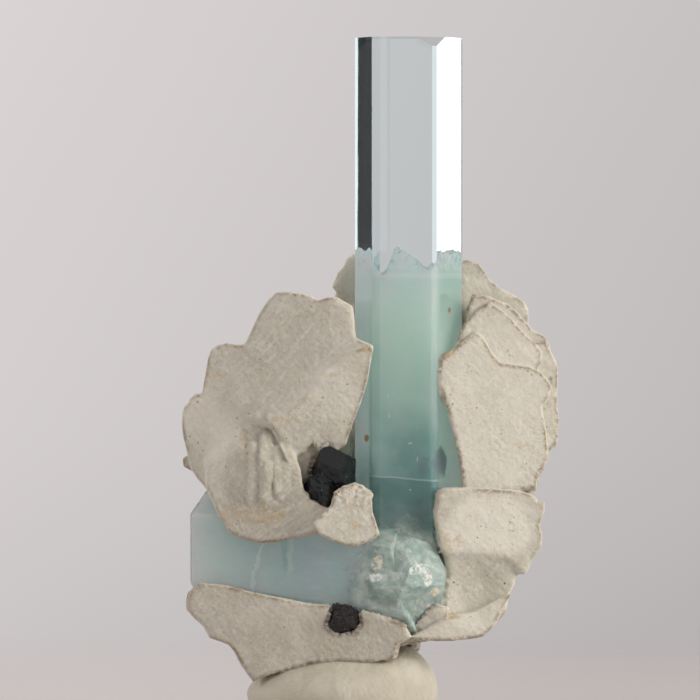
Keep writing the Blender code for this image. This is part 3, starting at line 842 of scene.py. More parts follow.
@dataclass(frozen=True)
class AlbiteFinish:
    """Sugary warm white albite with iron-stained rims and dark specks.

    Attributes:
        white: Its lighter colour.
        shade: Its darker colour.
        grain: Coarse crystal grains.
        vein: Thin pale veins.
        sugar: Fine bright grains.
        fibre: Pale fibres.
        fibres: The fibres' two sets, each how short they are drawn and how far they lean.
        grime: Dirt in the darker patches.
        rust: The stained rims of the blades.
        ochre: The stains.
        streak: Slanting brown streaks.
        rusty: Rust-coloured specks.
        black: Black specks.
        tones_and_light: Broad places that are lighter or darker, partly the albite's own colour and
            partly painted light and shade, as on the lighter bright blade and the darker face above
            it.
        stains: Places stained by iron.
    """

    white: Triple = (0.60, 0.57, 0.485)
    shade: Triple = (0.50, 0.467, 0.387)
    grain: Triple = (0.52, 0.49, 0.41)
    vein: Triple = (0.72, 0.70, 0.62)
    sugar: Triple = (0.68, 0.655, 0.58)
    fibre: Triple = (0.74, 0.72, 0.64)
    fibres: tuple[Pair, Pair] = ((0.2, -48.0), (0.3, 22.0))
    grime: Triple = (0.34, 0.30, 0.225)
    rust: Triple = (0.20, 0.14, 0.085)
    ochre: Triple = (0.52, 0.37, 0.17)
    streak: Triple = (0.40, 0.31, 0.20)
    rusty: Triple = (0.26, 0.19, 0.11)
    black: Triple = (0.06, 0.055, 0.05)
    tones_and_light: tuple[Patch, ...] = (
        Patch((14.6, -6.0, 19.4), (4.6, 4.0, 3.4), (0.74, 0.71, 0.62), 0.9),
        Patch((-12.6, -4.0, 31.5), (3.2, 5.0, 6.0), (0.70, 0.665, 0.57), 0.7),
        Patch((-1.2, -8.0, 32.5), (4.0, 3.0, 3.2), (0.68, 0.65, 0.565), 0.7),
        Patch((1.0, -9.0, 20.4), (2.6, 3.0, 2.6), (0.46, 0.43, 0.355), 0.7),
        Patch((3.2, -6.5, 8.2), (2.6, 3.0, 2.4), (0.50, 0.47, 0.395), 0.6),
        Patch((-7.6, -6.5, 22.5), (4.6, 4.0, 6.2), (0.38, 0.35, 0.28), 0.7),
        Patch((-8.5, -5.0, 36.5), (6.5, 5.0, 6.0), (0.47, 0.44, 0.36), 0.5),
        Patch((15.5, -4.0, 31.5), (6.5, 6.0, 8.5), (0.66, 0.63, 0.54), 0.6),
        Patch((13.5, -5.0, 12.0), (5.5, 5.0, 4.5), (0.66, 0.63, 0.54), 0.6),
    )
    stains: tuple[Patch, ...] = (
        Patch((-6.0, -6.5, 30.2), (1.3, 5.0, 0.35), ochre, 0.5),
        Patch((-3.6, -6.5, 32.0), (0.9, 5.0, 0.35), ochre, 0.35),
        Patch((-1.2, -6.5, 34.6), (1.1, 5.0, 0.35), ochre, 0.3),
        Patch((-8.2, -6.5, 20.6), (2.8, 5.0, 1.0), ochre, 0.45),
        Patch((-11.6, -5.0, 20.4), (0.5, 5.0, 1.4), ochre, 0.4),
        Patch((2.2, -6.0, 37.0), (0.9, 5.0, 0.7), ochre, 0.3),
        Patch((-9.7, -6.0, 28.3), (0.4, 5.0, 1.1), ochre, 0.55),
        Patch((10.4, -5.0, 37.1), (0.9, 5.0, 0.8), ochre, 1.0),
        Patch((1.0, -8.5, 21.7), (0.35, 5.0, 0.5), ochre, 0.5),
        Patch((1.5, -8.5, 19.6), (0.45, 5.0, 0.5), ochre, 0.6),
        Patch((11.0, -6.5, 18.0), (1.1, 5.0, 0.8), ochre, 0.5),
        Patch((11.0, -6.5, 10.6), (0.8, 5.0, 0.35), ochre, 0.6),
        Patch((-12.5, -5.0, 34.5), (1.0, 5.0, 0.5), ochre, 0.35),
        Patch((17.8, -5.0, 27.5), (0.9, 5.0, 0.4), ochre, 0.35),
    )

    def build(self) -> bpy.types.Material:
        """Makes the material.

        Returns:
            The material.
        """
        tree = ShaderTree(bpy.data.materials.new("albite"))
        patches = tree.noise(3.2, 4.0, 0.55)
        sugar = tree.noise(0.28, 4.0, 0.65)
        colour = self._stained(tree, self._stone(tree, patches, sugar))
        skin = tree.principled(
            {
                "Base Color": colour,
                "Roughness": 0.55,
                "IOR": 1.53,
                "Subsurface Weight": 1.0,
                "Subsurface Radius": (1.0, 0.85, 0.65),
                "Subsurface Scale": 0.6 * MM,
                "Normal": tree.bump(sugar * 0.6 + tree.cells(0.4) * 0.4, 0.12, 0.7),
            }
        )
        return tree.finish(skin)

    def _stone(self, tree: ShaderTree, patches: Signal, sugar: Signal) -> bpy.types.NodeSocket:
        """The albite's colours: its grains, broad lighter and darker patches partly painted as light
        and shade, its veins and fibres, and the dirt in it.

        Args:
            tree: The material's tree.
            patches: Broad noise.
            sugar: Fine noise.

        Returns:
            The colour.
        """
        colour = tree.blend(patches.step(0.35, 0.7), self.shade, self.white)
        grains = tree.cells(0.9, tree.turned((1.0, 1.0, 0.7), (0.0, 35.0, 0.0)))
        colour = tree.blend(grains.step(0.25, 0.75) * 0.25, colour, self.grain)
        # Broad patches, partly the albite's own colour and partly painted light and shade.
        for tone_and_light in self.tones_and_light:
            colour = tone_and_light.lay(tree, colour, 0.3, 2.0)
        vein = (tree.noise(0.8, 4.0, 0.7) - 0.5).within(0.04)
        colour = tree.blend(vein * 0.16, colour, self.vein)
        colour = tree.blend(sugar.step(0.3, 0.75) * 0.3, colour, self.sugar)
        tract = tree.noise(2.4, 2.0).step(0.40, 0.60)
        for (drawn, lean), share in zip(self.fibres, (tract * 0.38, (1.0 - tract) * 0.32)):
            fibre = tree.noise(0.4, 4.0, 0.65, tree.turned((1.0, 1.0, drawn), (0.0, lean, 0.0)))
            colour = tree.blend(fibre.step(0.48, 0.62) * share, colour, self.fibre)
        grime = tree.noise(0.2, 4.0, 0.7).step(0.58, 0.74) * patches.step(0.65, 0.35)
        return tree.blend(grime * 0.6, colour, self.grime)

    def _stained(self, tree: ShaderTree, colour: bpy.types.NodeSocket) -> bpy.types.NodeSocket:
        """Iron on the blades' rims, ochre stains, brown streaks and dark specks.

        Args:
            tree: The material's tree.
            colour: The colour so far.

        Returns:
            The colour.
        """
        broken = tree.noise(0.5, 5.0, 0.8).step(0.38, 0.56) * tree.noise(2.6, 2.0).step(0.28, 0.54)
        rim = tree.attribute("stained_rim") * (broken * 0.82 + 0.08)
        colour = tree.blend(rim, colour, self.rust)
        blotchy = tree.noise(0.35, 3.0).step(0.38, 0.62)
        for stain in self.stains:
            colour = stain.lay(tree, colour, 0.7, 0.5, blotchy)
        dirty = tree.noise(2.6, 3.0, 0.6).step(0.42, 0.62)
        streaks = tree.noise(0.5, 3.0, 0.6, tree.turned((1.0, 0.6, 2.6), (0.0, -28.0, 0.0)))
        colour = tree.blend(streaks.step(0.57, 0.67) * dirty * 0.4, colour, self.streak)
        colour = tree.blend(tree.specks(0.75, 0.11, 0.5) * dirty * 0.8, colour, self.rusty)
        black = tree.specks(1.2, 0.10, 0.5).top(tree.specks(2.7, 0.14, 0.5))
        return tree.blend(black * 0.9, colour, self.black)


@dataclass(frozen=True)
class TourmalineFinish:
    """Black tourmaline: glossy, finely striated and flaky, with a brown cast where it is rough.

    Attributes:
        name: The material's name.
        black: Its colour.
        brown: The colour of its rough patches.
        painted_glint: Painted glints: pale blue-grey specks that stand in for light caught by small
            facets.
        brownness: How strong the brown is.
        roughness: How dull its gloss is.
    """

    name: str
    black: Triple = (0.007, 0.009, 0.010)
    brown: Triple = (0.07, 0.03, 0.02)
    painted_glint: Triple = (0.42, 0.50, 0.52)
    brownness: float = 0.0
    roughness: float = 0.24

    def build(self) -> bpy.types.Material:
        """Makes the material.

        Returns:
            The material.
        """
        tree = ShaderTree(bpy.data.materials.new(self.name))
        grain = tree.noise(0.22, 5.0, 0.65)
        striae = tree.noise(0.16, 3.0, 0.6, tree.turned((1.0, 1.0, 0.12), (20.0, 15.0, 0.0)))
        flakes = tree.cells(0.55, tree.turned((1.0, 1.0, 0.6), (0.0, 30.0, 15.0)))
        colour = tree.blend(grain.step(0.45, 0.7) * self.brownness, self.black, self.brown)
        # Painted glints: pale blue-grey specks in place of light caught by small facets.
        colour = tree.blend(tree.specks(0.5, 0.07, 0.3) * 0.7, colour, self.painted_glint)
        skin = tree.principled(
            {
                "Base Color": colour,
                "Roughness": self.roughness + (grain - 0.5) * 0.3,
                "IOR": 1.64,
                "Specular IOR Level": 0.28,
                "Normal": tree.bump(striae * 0.3 + grain * 0.2 + flakes * 0.9, 0.16, 0.8),
            }
        )
        return tree.finish(skin)


@dataclass(frozen=True)
class PuttyFinish:
    """Cream mounting putty, matt and faintly swirled by a finger.

    Attributes:
        cream: Its lighter colour.
        dull: Its darker colour.
        crease: The crests of the swirls.
        painted_left_light: Painted light that brightens its left end, away from the key light.
        lint: Specks of fluff.
        ridge: From one swirl's crest to the next.
        run: How fast the swirls follow one another across, deep and up.
    """

    cream: Triple = (0.53, 0.495, 0.40)
    dull: Triple = (0.47, 0.435, 0.345)
    crease: Triple = (0.56, 0.52, 0.42)
    painted_left_light: Triple = (0.66, 0.62, 0.51)
    lint: Triple = (0.45, 0.35, 0.26)
    ridge: float = 0.55
    run: Triple = (0.72, 0.35, 0.6)

    def build(self) -> bpy.types.Material:
        """Makes the material.

        Returns:
            The material.
        """
        tree = ShaderTree(bpy.data.materials.new("putty"))
        across, _, _ = tree.axes()
        ridges = self._ridges(tree)
        patches = tree.noise(2.0, 4.0, 0.6)
        colour = tree.blend(patches.step(0.3, 0.7), self.dull, self.cream)
        colour = tree.blend(ridges * 0.10, colour, self.crease)
        # Painted light: the left end is made lighter, away from the key light.
        colour = tree.blend(across.step(-2.0, -8.0) * 0.4, colour, self.painted_left_light)
        colour = tree.blend(tree.specks(2.4, 0.08, 0.25) * 0.5, colour, self.lint)
        faint = tree.noise(1.6, 2.0, 0.5).step(0.35, 0.65)
        height = ridges * faint * 0.4 + tree.noise(0.3, 4.0, 0.6) * 0.4
        skin = tree.principled(
            {
                "Base Color": colour,
                "Roughness": 0.68,
                "Subsurface Weight": 0.35,
                "Subsurface Radius": (1.0, 0.8, 0.5),
                "Subsurface Scale": 0.6 * MM,
                "Normal": tree.bump(height, 0.07, 0.6),
            }
        )
        return tree.finish(skin)

    def _ridges(self, tree: ShaderTree) -> Signal:
        """The swirls.

        Args:
            tree: The material's tree.

        Returns:
            Their height, from 0 to 1.
        """
        across, deep, up = tree.axes()
        swirl = tree.noise(5.0, 1.0, 0.5) * 5.0 + tree.noise(1.1, 2.0, 0.5) * 0.5
        phase = across * self.run[0] + up * self.run[2] + deep * self.run[1] + swirl
        return tree.math("SINE", phase * (2 * math.pi / self.ridge)) * 0.5 + 0.5


@dataclass(frozen=True)
class FloorFinish:
    """A pale matt floor that fades out towards its rim, so that no horizon line shows.

    Attributes:
        left: Its colour on the left, lighter as painted light.
        right: Its colour on the right, darker as painted shade.
        reach: How far from the middle those colours are reached.
        solid_to: The radius where it begins to fade.
        gone_by: The radius where it is gone.
    """

    left: Triple = (0.63, 0.595, 0.59)
    right: Triple = (0.525, 0.495, 0.485)
    reach: float = 36.0
    solid_to: float = 60.0
    gone_by: float = 250.0

    def build(self) -> bpy.types.Material:
        """Makes the material.

        Returns:
            The material.
        """
        tree = ShaderTree(bpy.data.materials.new("floor"))
        across, deep, _ = tree.axes()
        radius = tree.math("SQRT", across * across + deep * deep)
        # Painted light and shade: the floor is lighter on the left and darker on the right.
        colour = tree.blend(across.step(-self.reach, self.reach), self.left, self.right)
        matt = tree.principled({"Base Color": colour, "Roughness": 0.9})
        gone = tree.node("ShaderNodeBsdfTransparent").outputs[0]
        return tree.finish(tree.mix(radius.step(self.solid_to, self.gone_by), matt, gone))


@dataclass(frozen=True)
class CardFinish:
    """A studio card that gives an even light, or none.

    Attributes:
        name: The material's name.
        brightness: The light's strength.
    """

    name: str
    brightness: float

    def build(self) -> bpy.types.Material:
        """Makes the material.

        Returns:
            The material.
        """
        tree = ShaderTree(bpy.data.materials.new(self.name))
        light = {"Color": (1.0, 1.0, 1.0, 1.0), "Strength": self.brightness}
        return tree.finish(tree.node("ShaderNodeEmission", None, light).outputs[0])


# -------------------------------------------------------------------- the bench


@dataclass(frozen=True)
class Relief:
    """One layer of relief for a Displace modifier.

    Attributes:
        name: The layer's name.
        grain: The kind of pattern.
        size: The pattern's size.
        height: How far it moves the surface at full strength.
        stretch: How much longer the pattern is along each axis.
        turn: Degrees that the pattern is turned by.
        where: The vertex group that masks it, if any.
        middle: The pattern's value that leaves the surface where it is.
    """

    name: str
    grain: Grain
    size: float
    height: float
    stretch: Triple = (1.0, 1.0, 1.0)
    turn: Triple = (0.0, 0.0, 0.0)
    where: str = ""
    middle: float = 0.5


class Bench:
    """The modelling operators, each made safe to call on one object."""

    WELD = 0.001  # Points that are this near to each other are one.

    @staticmethod
    def take(obj: bpy.types.Object) -> None:
        """Makes an object the only selected one, and the active one.

        Args:
            obj: The object.
        """
        bpy.ops.object.select_all(action="DESELECT")
        bpy.context.view_layer.objects.active = obj
        obj.select_set(True)

    @staticmethod
    def copy_node(node: bpy.types.Object, name: str) -> bpy.types.Object:
        """Copies a frame node's mesh to a new object, with its loose triangles welded.

        Args:
            node: The frame node.
            name: The new object's name.

        Returns:
            The new object.
        """
        mesh = node.data.copy()
        mesh.name = name
        mesh.materials.clear()
        obj = bpy.data.objects.new(name, mesh)
        bpy.context.scene.collection.objects.link(obj)
        Bench.take(obj)
        if mesh.has_custom_normals:
            bpy.ops.mesh.customdata_custom_splitnormals_clear()
        bpy.ops.object.mode_set(mode="EDIT")
        bpy.ops.mesh.select_all(action="SELECT")
        bpy.ops.mesh.remove_doubles(threshold=Bench.WELD * MM)
        bpy.ops.mesh.normals_make_consistent(inside=False)
        bpy.ops.object.mode_set(mode="OBJECT")
        return obj

    @staticmethod
    def modify(obj: bpy.types.Object, kind: str, **settings: object) -> None:
        """Adds a modifier and applies it.

        Args:
            obj: A mesh object.
            kind: The modifier's type.
            **settings: Its properties.
        """
        Bench.take(obj)
        made = obj.modifiers.new(kind.lower(), kind)
        for key, value in settings.items():
            setattr(made, key, value)
        bpy.ops.object.modifier_apply(modifier=made.name)

    @staticmethod
    def points(obj: bpy.types.Object) -> np.ndarray:
        """The mesh's points.

        Args:
            obj: A mesh object.

        Returns:
            Their places in millimetres, one row each.
        """
        flat = np.empty(len(obj.data.vertices) * 3)
        obj.data.vertices.foreach_get("co", flat)
        return flat.reshape(-1, 3) / MM

    @staticmethod
    def place(obj: bpy.types.Object, points: np.ndarray) -> None:
        """Moves the mesh's points to those places in millimetres."""
        obj.data.vertices.foreach_set("co", (points * MM).ravel())
        obj.data.update()

    @staticmethod
    def normals(obj: bpy.types.Object) -> np.ndarray:
        """The mesh's point normals.

        Args:
            obj: A mesh object.

        Returns:
            The normals, one row each.
        """
        flat = np.empty(len(obj.data.vertices) * 3)
        obj.data.vertices.foreach_get("normal", flat)
        return flat.reshape(-1, 3)

    @staticmethod
    def swelling(obj: bpy.types.Object, passes: int) -> np.ndarray:
        """How far each point stands out of its smoothed surroundings, in millimetres.

        Args:
            obj: A mesh object.
            passes: How often the surroundings are averaged, which sets their reach.

        Returns:
            One number a point: positive on rims and tips, negative in hollows.
        """
        ends = np.empty(len(obj.data.edges) * 2, dtype=np.int64)
        obj.data.edges.foreach_get("vertices", ends)
        first, second = ends.reshape(-1, 2).T
        start = Bench.points(obj)
        count = len(start)
        share = np.bincount(first, minlength=count) + np.bincount(second, minlength=count)
        share = np.maximum(share, 1)
        soft = start.copy()
        for _ in range(passes):
            for axis in range(3):
                column = soft[:, axis]
                total = np.bincount(first, column[second], count)
                total += np.bincount(second, column[first], count)
                soft[:, axis] = 0.5 * column + 0.5 * total / share
        return np.einsum("ij,ij->i", start - soft, Bench.normals(obj))

    @staticmethod
    def sharp_edges(obj: bpy.types.Object, degrees: float, spacing: float = 0.12) -> KDTree:
        """Points strung along a mesh's sharp outer edges, in millimetres.

        Args:
            obj: A mesh object.
            degrees: How much an edge turns at least.
            spacing: From one point to the next.

        Returns:
            The points, ready for finding the nearest.
        """
        shape = bmesh.new()
        shape.from_mesh(obj.data)
        found: list[Vector] = []
        for edge in shape.edges:
            if edge.is_manifold and edge.calc_face_angle_signed() > math.radians(degrees):
                first, last = (corner.co / MM for corner in edge.verts)
                count = max(1, round((last - first).length / spacing))
                found += [first.lerp(last, (step + 0.5) / count) for step in range(count)]
        shape.free()
        tree = KDTree(len(found))
        for index, place in enumerate(found):
            tree.insert(place, index)
        tree.balance()
        return tree

    @staticmethod
    def mask(obj: bpy.types.Object, name: str, weights: np.ndarray, levels: int = 24) -> None:
        """Writes a vertex group.

        Args:
            obj: A mesh object.
            name: The group's name.
            weights: A number from 0 to 1 for each point.
            levels: How many levels they are rounded to, so that it is quick.
        """
        group = obj.vertex_groups.new(name=name)
        steps = np.rint(np.clip(weights, 0.0, 1.0) * levels).astype(int)
        for level in range(1, levels + 1):
            chosen = np.flatnonzero(steps == level).tolist()
            if chosen:
                group.add(chosen, level / levels, "REPLACE")

    @staticmethod
    def store(obj: bpy.types.Object, name: str, values: np.ndarray) -> None:
        """Stores a number on each point, for the material to read."""
        made = obj.data.attributes.new(name, "FLOAT", "POINT")
        made.data.foreach_set("value", np.clip(values, 0.0, 1.0).astype(np.float32))

    @staticmethod
    def press(obj: bpy.types.Object, layer: Relief) -> None:
        """Presses a layer of relief into a mesh along its normals.

        Args:
            obj: A mesh object.
            layer: The relief.
        """
        kind, settings = layer.grain.value
        texture = bpy.data.textures.new(layer.name, kind)
        texture.noise_scale = 1.0
        for key, value in settings.items():
            setattr(texture, key, value)
        guide = bpy.data.objects.new(layer.name, None)
        bpy.context.scene.collection.objects.link(guide)
        guide.rotation_euler = Euler([math.radians(angle) for angle in layer.turn])
        guide.scale = [layer.size * MM * part for part in layer.stretch]
        bpy.context.view_layer.update()
        Bench.modify(
            obj,
            "DISPLACE",
            texture=texture,
            texture_coords="OBJECT",
            texture_coords_object=guide,
            strength=layer.height * MM,
            mid_level=layer.middle,
            vertex_group=layer.where,
        )
        bpy.data.objects.remove(guide)

    @staticmethod
    def close_gap(obj: bpy.types.Object, neighbour: bpy.types.Object, gap: float) -> None:
        """Moves the points that nearly touch a neighbour onto its surface.

        Args:
            obj: The piece whose points move.
            neighbour: The frame node that it touches.
            gap: The distance that counts as nearly touching, in millimetres.
        """
        low, high = (np.array(corner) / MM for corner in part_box(neighbour.name))
        mesh = neighbour.data
        tree = BVHTree.FromPolygons(
            [vertex.co for vertex in mesh.vertices], [face.vertices for face in mesh.polygons]
        )
        points = Bench.points(obj)
        inside = np.all((points > low - gap) & (points < high + gap), axis=1)
        for index in np.flatnonzero(inside):
            near = tree.find_nearest(Vector(points[index]) * MM, gap * MM)[0]
            if near is not None:
                points[index] = np.array(near) / MM
        Bench.place(obj, points)

    @staticmethod
    def dress(
        obj: bpy.types.Object, material: bpy.types.Material, slot: Slot, nodes: Sequence[str] = ()
    ) -> None:
        """Gives a finished piece its material and its body.

        Args:
            obj: The piece.
            material: Its material.
            slot: Its material slot. Not used.
            nodes: The frame nodes that it stands for.
        """
        obj.data.materials.clear()
        obj.data.materials.append(material)
        for group in list(obj.vertex_groups):
            obj.vertex_groups.remove(group)
        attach(obj, BODY)
        if nodes:
            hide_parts(*nodes)
        LOG.info("%s: %d faces", obj.name, len(obj.data.polygons))


def ramp(values: np.ndarray, low: float, high: float) -> np.ndarray:
    """A smooth climb of values from 0 at low to 1 at high, or a fall where high is the smaller."""
    part = np.clip((values - low) / (high - low), 0.0, 1.0)
    return part * part * (3.0 - 2.0 * part)


@dataclass(frozen=True)
class Region:
    """A soft-edged ellipsoid on a piece.

    Attributes:
        centre: Its middle.
        radii: Its half sizes.
        soft: How far its edge fades to either side, in parts of its radius.
    """

    centre: Triple
    radii: Triple
    soft: float = 0.35

    def mask(self, points: np.ndarray) -> np.ndarray:
        """1 for the points inside, falling to 0 outside."""
        distance = np.linalg.norm((points - np.array(self.centre)) / np.array(self.radii), axis=1)
        return ramp(distance, 1.0 + self.soft, 1.0 - self.soft)


# ------------------------------------------------------------------- the pieces


@dataclass
class AquamarineCluster:
    """The standing and the lying aquamarine: a clear skin over a milky filling.

    Attributes:
        node: The frame node that they stand for.
        skin: Space between the crystals' faces and the milky filling.
        root: The rough root.
        relief: What breaks it up, from coarse to fine.
        facet: The root's faces are divided until they are about this wide.
        smooth: Faces that meet at less than this many degrees look rounded.
        crest: The filling's broken upper edge, as places across and their heights.
        crest_depth: Front and back of the broken edge.
        crest_grid: How many times the block that breaks it is divided across and in depth.
        crest_jitter: How far that block's points stray across, in depth and downwards.
    """

    node: bpy.types.Object
    skin: float = 0.14
    root: Region = Region((6.2, -5.2, 13.4), (5.2, 5.6, 5.2), 0.25)
    relief: tuple[Relief, ...] = (
        Relief("chips", Grain.CRYSTALLINE, 1.5, 0.22, where="root", middle=0.3),
        Relief("grain", Grain.CLOUDY, 0.7, 0.32, where="root"),
    )
    facet: float = 0.26
    smooth: float = 25.0
    crest: tuple[Pair, ...] = (
        (0.2, 46.4),
        (1.9, 47.5),
        (2.8, 46.4),
        (3.5, 44.9),
        (4.3, 44.8),
        (5.4, 47.5),
        (6.3, 46.9),
        (8.8, 45.1),
        (9.4, 46.6),
        (9.9, 47.4),
        (10.8, 46.7),
        (11.6, 47.2),
        (13.2, 46.2),
    )
    crest_depth: Pair = (-7.2, 5.8)
    crest_grid: tuple[int, int] = (26, 12)
    crest_jitter: Triple = (0.2, 0.35, 0.6)

    def build(self) -> None:
        """Builds and dresses both pieces."""
        self._outer()
        self._filling()

    def _outer(self) -> None:
        """The crystals' own faces, with the root broken up."""
        obj = Bench.copy_node(self.node, "aquamarine")
        self._divide_root(obj)
        Bench.mask(obj, "root", self.root.mask(Bench.points(obj)))
        for layer in self.relief:
            Bench.press(obj, layer)
        Bench.take(obj)
        bpy.ops.object.shade_smooth_by_angle(angle=math.radians(self.smooth))
        Bench.dress(obj, CrystalFinish().build(), Slot.AQUAMARINE, ["aquamarine_crystals"])

    def _divide_root(self, obj: bpy.types.Object) -> None:
        """Divides the faces round the root finely.

        Args:
            obj: The piece.
        """
        for cuts in (3, 2, 1):
            Bench.take(obj)
            bpy.ops.object.mode_set(mode="OBJECT")
            for polygon in obj.data.polygons:
                # A large face reaches further towards the root than its middle does.
                wide = replace(self.root, soft=0.6 + math.sqrt(polygon.area) / MM * 0.08)
                near = wide.mask(np.array([polygon.center]) / MM)[0] > 0.02
                polygon.select = bool(near and polygon.area > (self.facet * MM) ** 2)
            for edge in obj.data.edges:
                edge.select = False
            bpy.ops.object.mode_set(mode="EDIT")
            bpy.ops.mesh.select_mode(type="FACE")
            bpy.ops.mesh.quads_convert_to_tris()
            bpy.ops.mesh.subdivide(number_cuts=cuts)
            bpy.ops.mesh.select_all(action="SELECT")
            bpy.ops.mesh.quads_convert_to_tris()
            bpy.ops.mesh.select_all(action="DESELECT")
            bpy.ops.object.mode_set(mode="OBJECT")

    def _filling(self) -> None:
        """The milky filling: the crystals drawn in a little, and broken off along a jagged crest."""
        obj = Bench.copy_node(self.node, "aquamarine_cloud")
        Bench.take(obj)
        bpy.ops.object.mode_set(mode="EDIT")
        bpy.ops.mesh.select_all(action="SELECT")
        bpy.ops.transform.shrink_fatten(value=-self.skin * MM, use_even_offset=True)
        bpy.ops.object.mode_set(mode="OBJECT")
        cutter = self._crest_cutter()
        Bench.modify(obj, "BOOLEAN", operation="DIFFERENCE", object=cutter, solver="EXACT")
        bpy.data.objects.remove(cutter)
        Bench.take(obj)
        bpy.ops.object.shade_flat()
        Bench.dress(obj, CloudFinish().build(), Slot.AQUAMARINE)

    def _crest_cutter(self) -> bpy.types.Object:
        """A block whose rugged underside follows the crest.

        Returns:
            The block.
        """
        columns, rows = self.crest_grid
        aside, along, down = self.crest_jitter
        low, high = self.crest[0][0], self.crest[-1][0]
        front, back = self.crest_depth
        bpy.ops.object.select_all(action="DESELECT")
        bpy.ops.mesh.primitive_grid_add(x_subdivisions=columns, y_subdivisions=rows, size=1.0)
        obj = bpy.context.object
        draw = np.random.default_rng(11)
        points = Bench.points(obj) * MM
        across = low + (points[:, 0] + 0.5) * (high - low)
        deep = front + (points[:, 1] + 0.5) * (back - front)
        across += draw.uniform(-aside, aside, len(across))
        deep += draw.uniform(-along, along, len(deep))
        height = np.interp(across, *zip(*self.crest)) - draw.uniform(0.0, down, len(across))
        Bench.place(obj, np.column_stack([across, deep, height]))
        bpy.ops.object.mode_set(mode="EDIT")
        bpy.ops.mesh.select_all(action="SELECT")
        bpy.ops.mesh.quads_convert_to_tris()
        bpy.ops.mesh.extrude_region_move(TRANSFORM_OT_translate={"value": (0.0, 0.0, 30 * MM)})
        bpy.ops.mesh.select_all(action="SELECT")
        bpy.ops.mesh.normals_make_consistent(inside=False)
        bpy.ops.object.mode_set(mode="OBJECT")
        return obj


@dataclass(frozen=True)
class Rib:
    """An upright rounded rib on the albite's lower left face.

    Attributes:
        across: Its middle.
        half: Half its width.
        top: Its upper end.
        foot: Its lower end.
        height: How far it stands out.
    """

    across: float
    half: float
    top: float
    foot: float
    height: float

    def rise(self, points: np.ndarray) -> np.ndarray:
        """How far the rib pushes points forwards.

        Args:
            points: The surface's points.

        Returns:
            One number a point.
        """
        up = points[:, 2]
        aside = (points[:, 0] - self.across - (up - self.foot) * 0.03) / self.half
        round_face = np.clip(1.0 - aside * aside, 0.0, 1.0) ** 0.7
        along = ramp(up, self.top, self.top - 0.6) * ramp(up, self.foot, self.foot + 2.0)
        return self.height * round_face * along


@dataclass(frozen=True)
class Step:
    """A crisp step down beside a blade's edge.

    Attributes:
        start: One end of the edge, across and up. The low side is on the left from here.
        end: Its other end.
        depth: How far the low side lies back.
        reach: How far from the edge the low side has come up again.
    """

    start: Pair
    end: Pair
    depth: float
    reach: float

    def fall(self, points: np.ndarray) -> np.ndarray:
        """How far the step pushes points back.

        Args:
            points: The surface's points.

        Returns:
            One number a point.
        """
        run = np.array(self.end) - np.array(self.start)
        length = float(np.hypot(*run))
        run /= length
        offset = points[:, [0, 2]] - np.array(self.start)
        along = offset @ run
        aside = offset[:, 1] * run[0] - offset[:, 0] * run[1]
        inside = ramp(along, -0.5, 0.3) * ramp(along, length + 1.5, length - 0.3)
        return self.depth * ramp(aside, 0.0, 0.15) * ramp(aside, self.reach, 0.5) * inside


@dataclass(frozen=True)
class Dent:
    """A soft hollow in the front.

    Attributes:
        region: Where it is.
        depth: How far its middle lies back.
    """

    region: Region
    depth: float

    def fall(self, points: np.ndarray) -> np.ndarray:
        """How far the dent pushes points back."""
        return self.depth * self.region.mask(points)


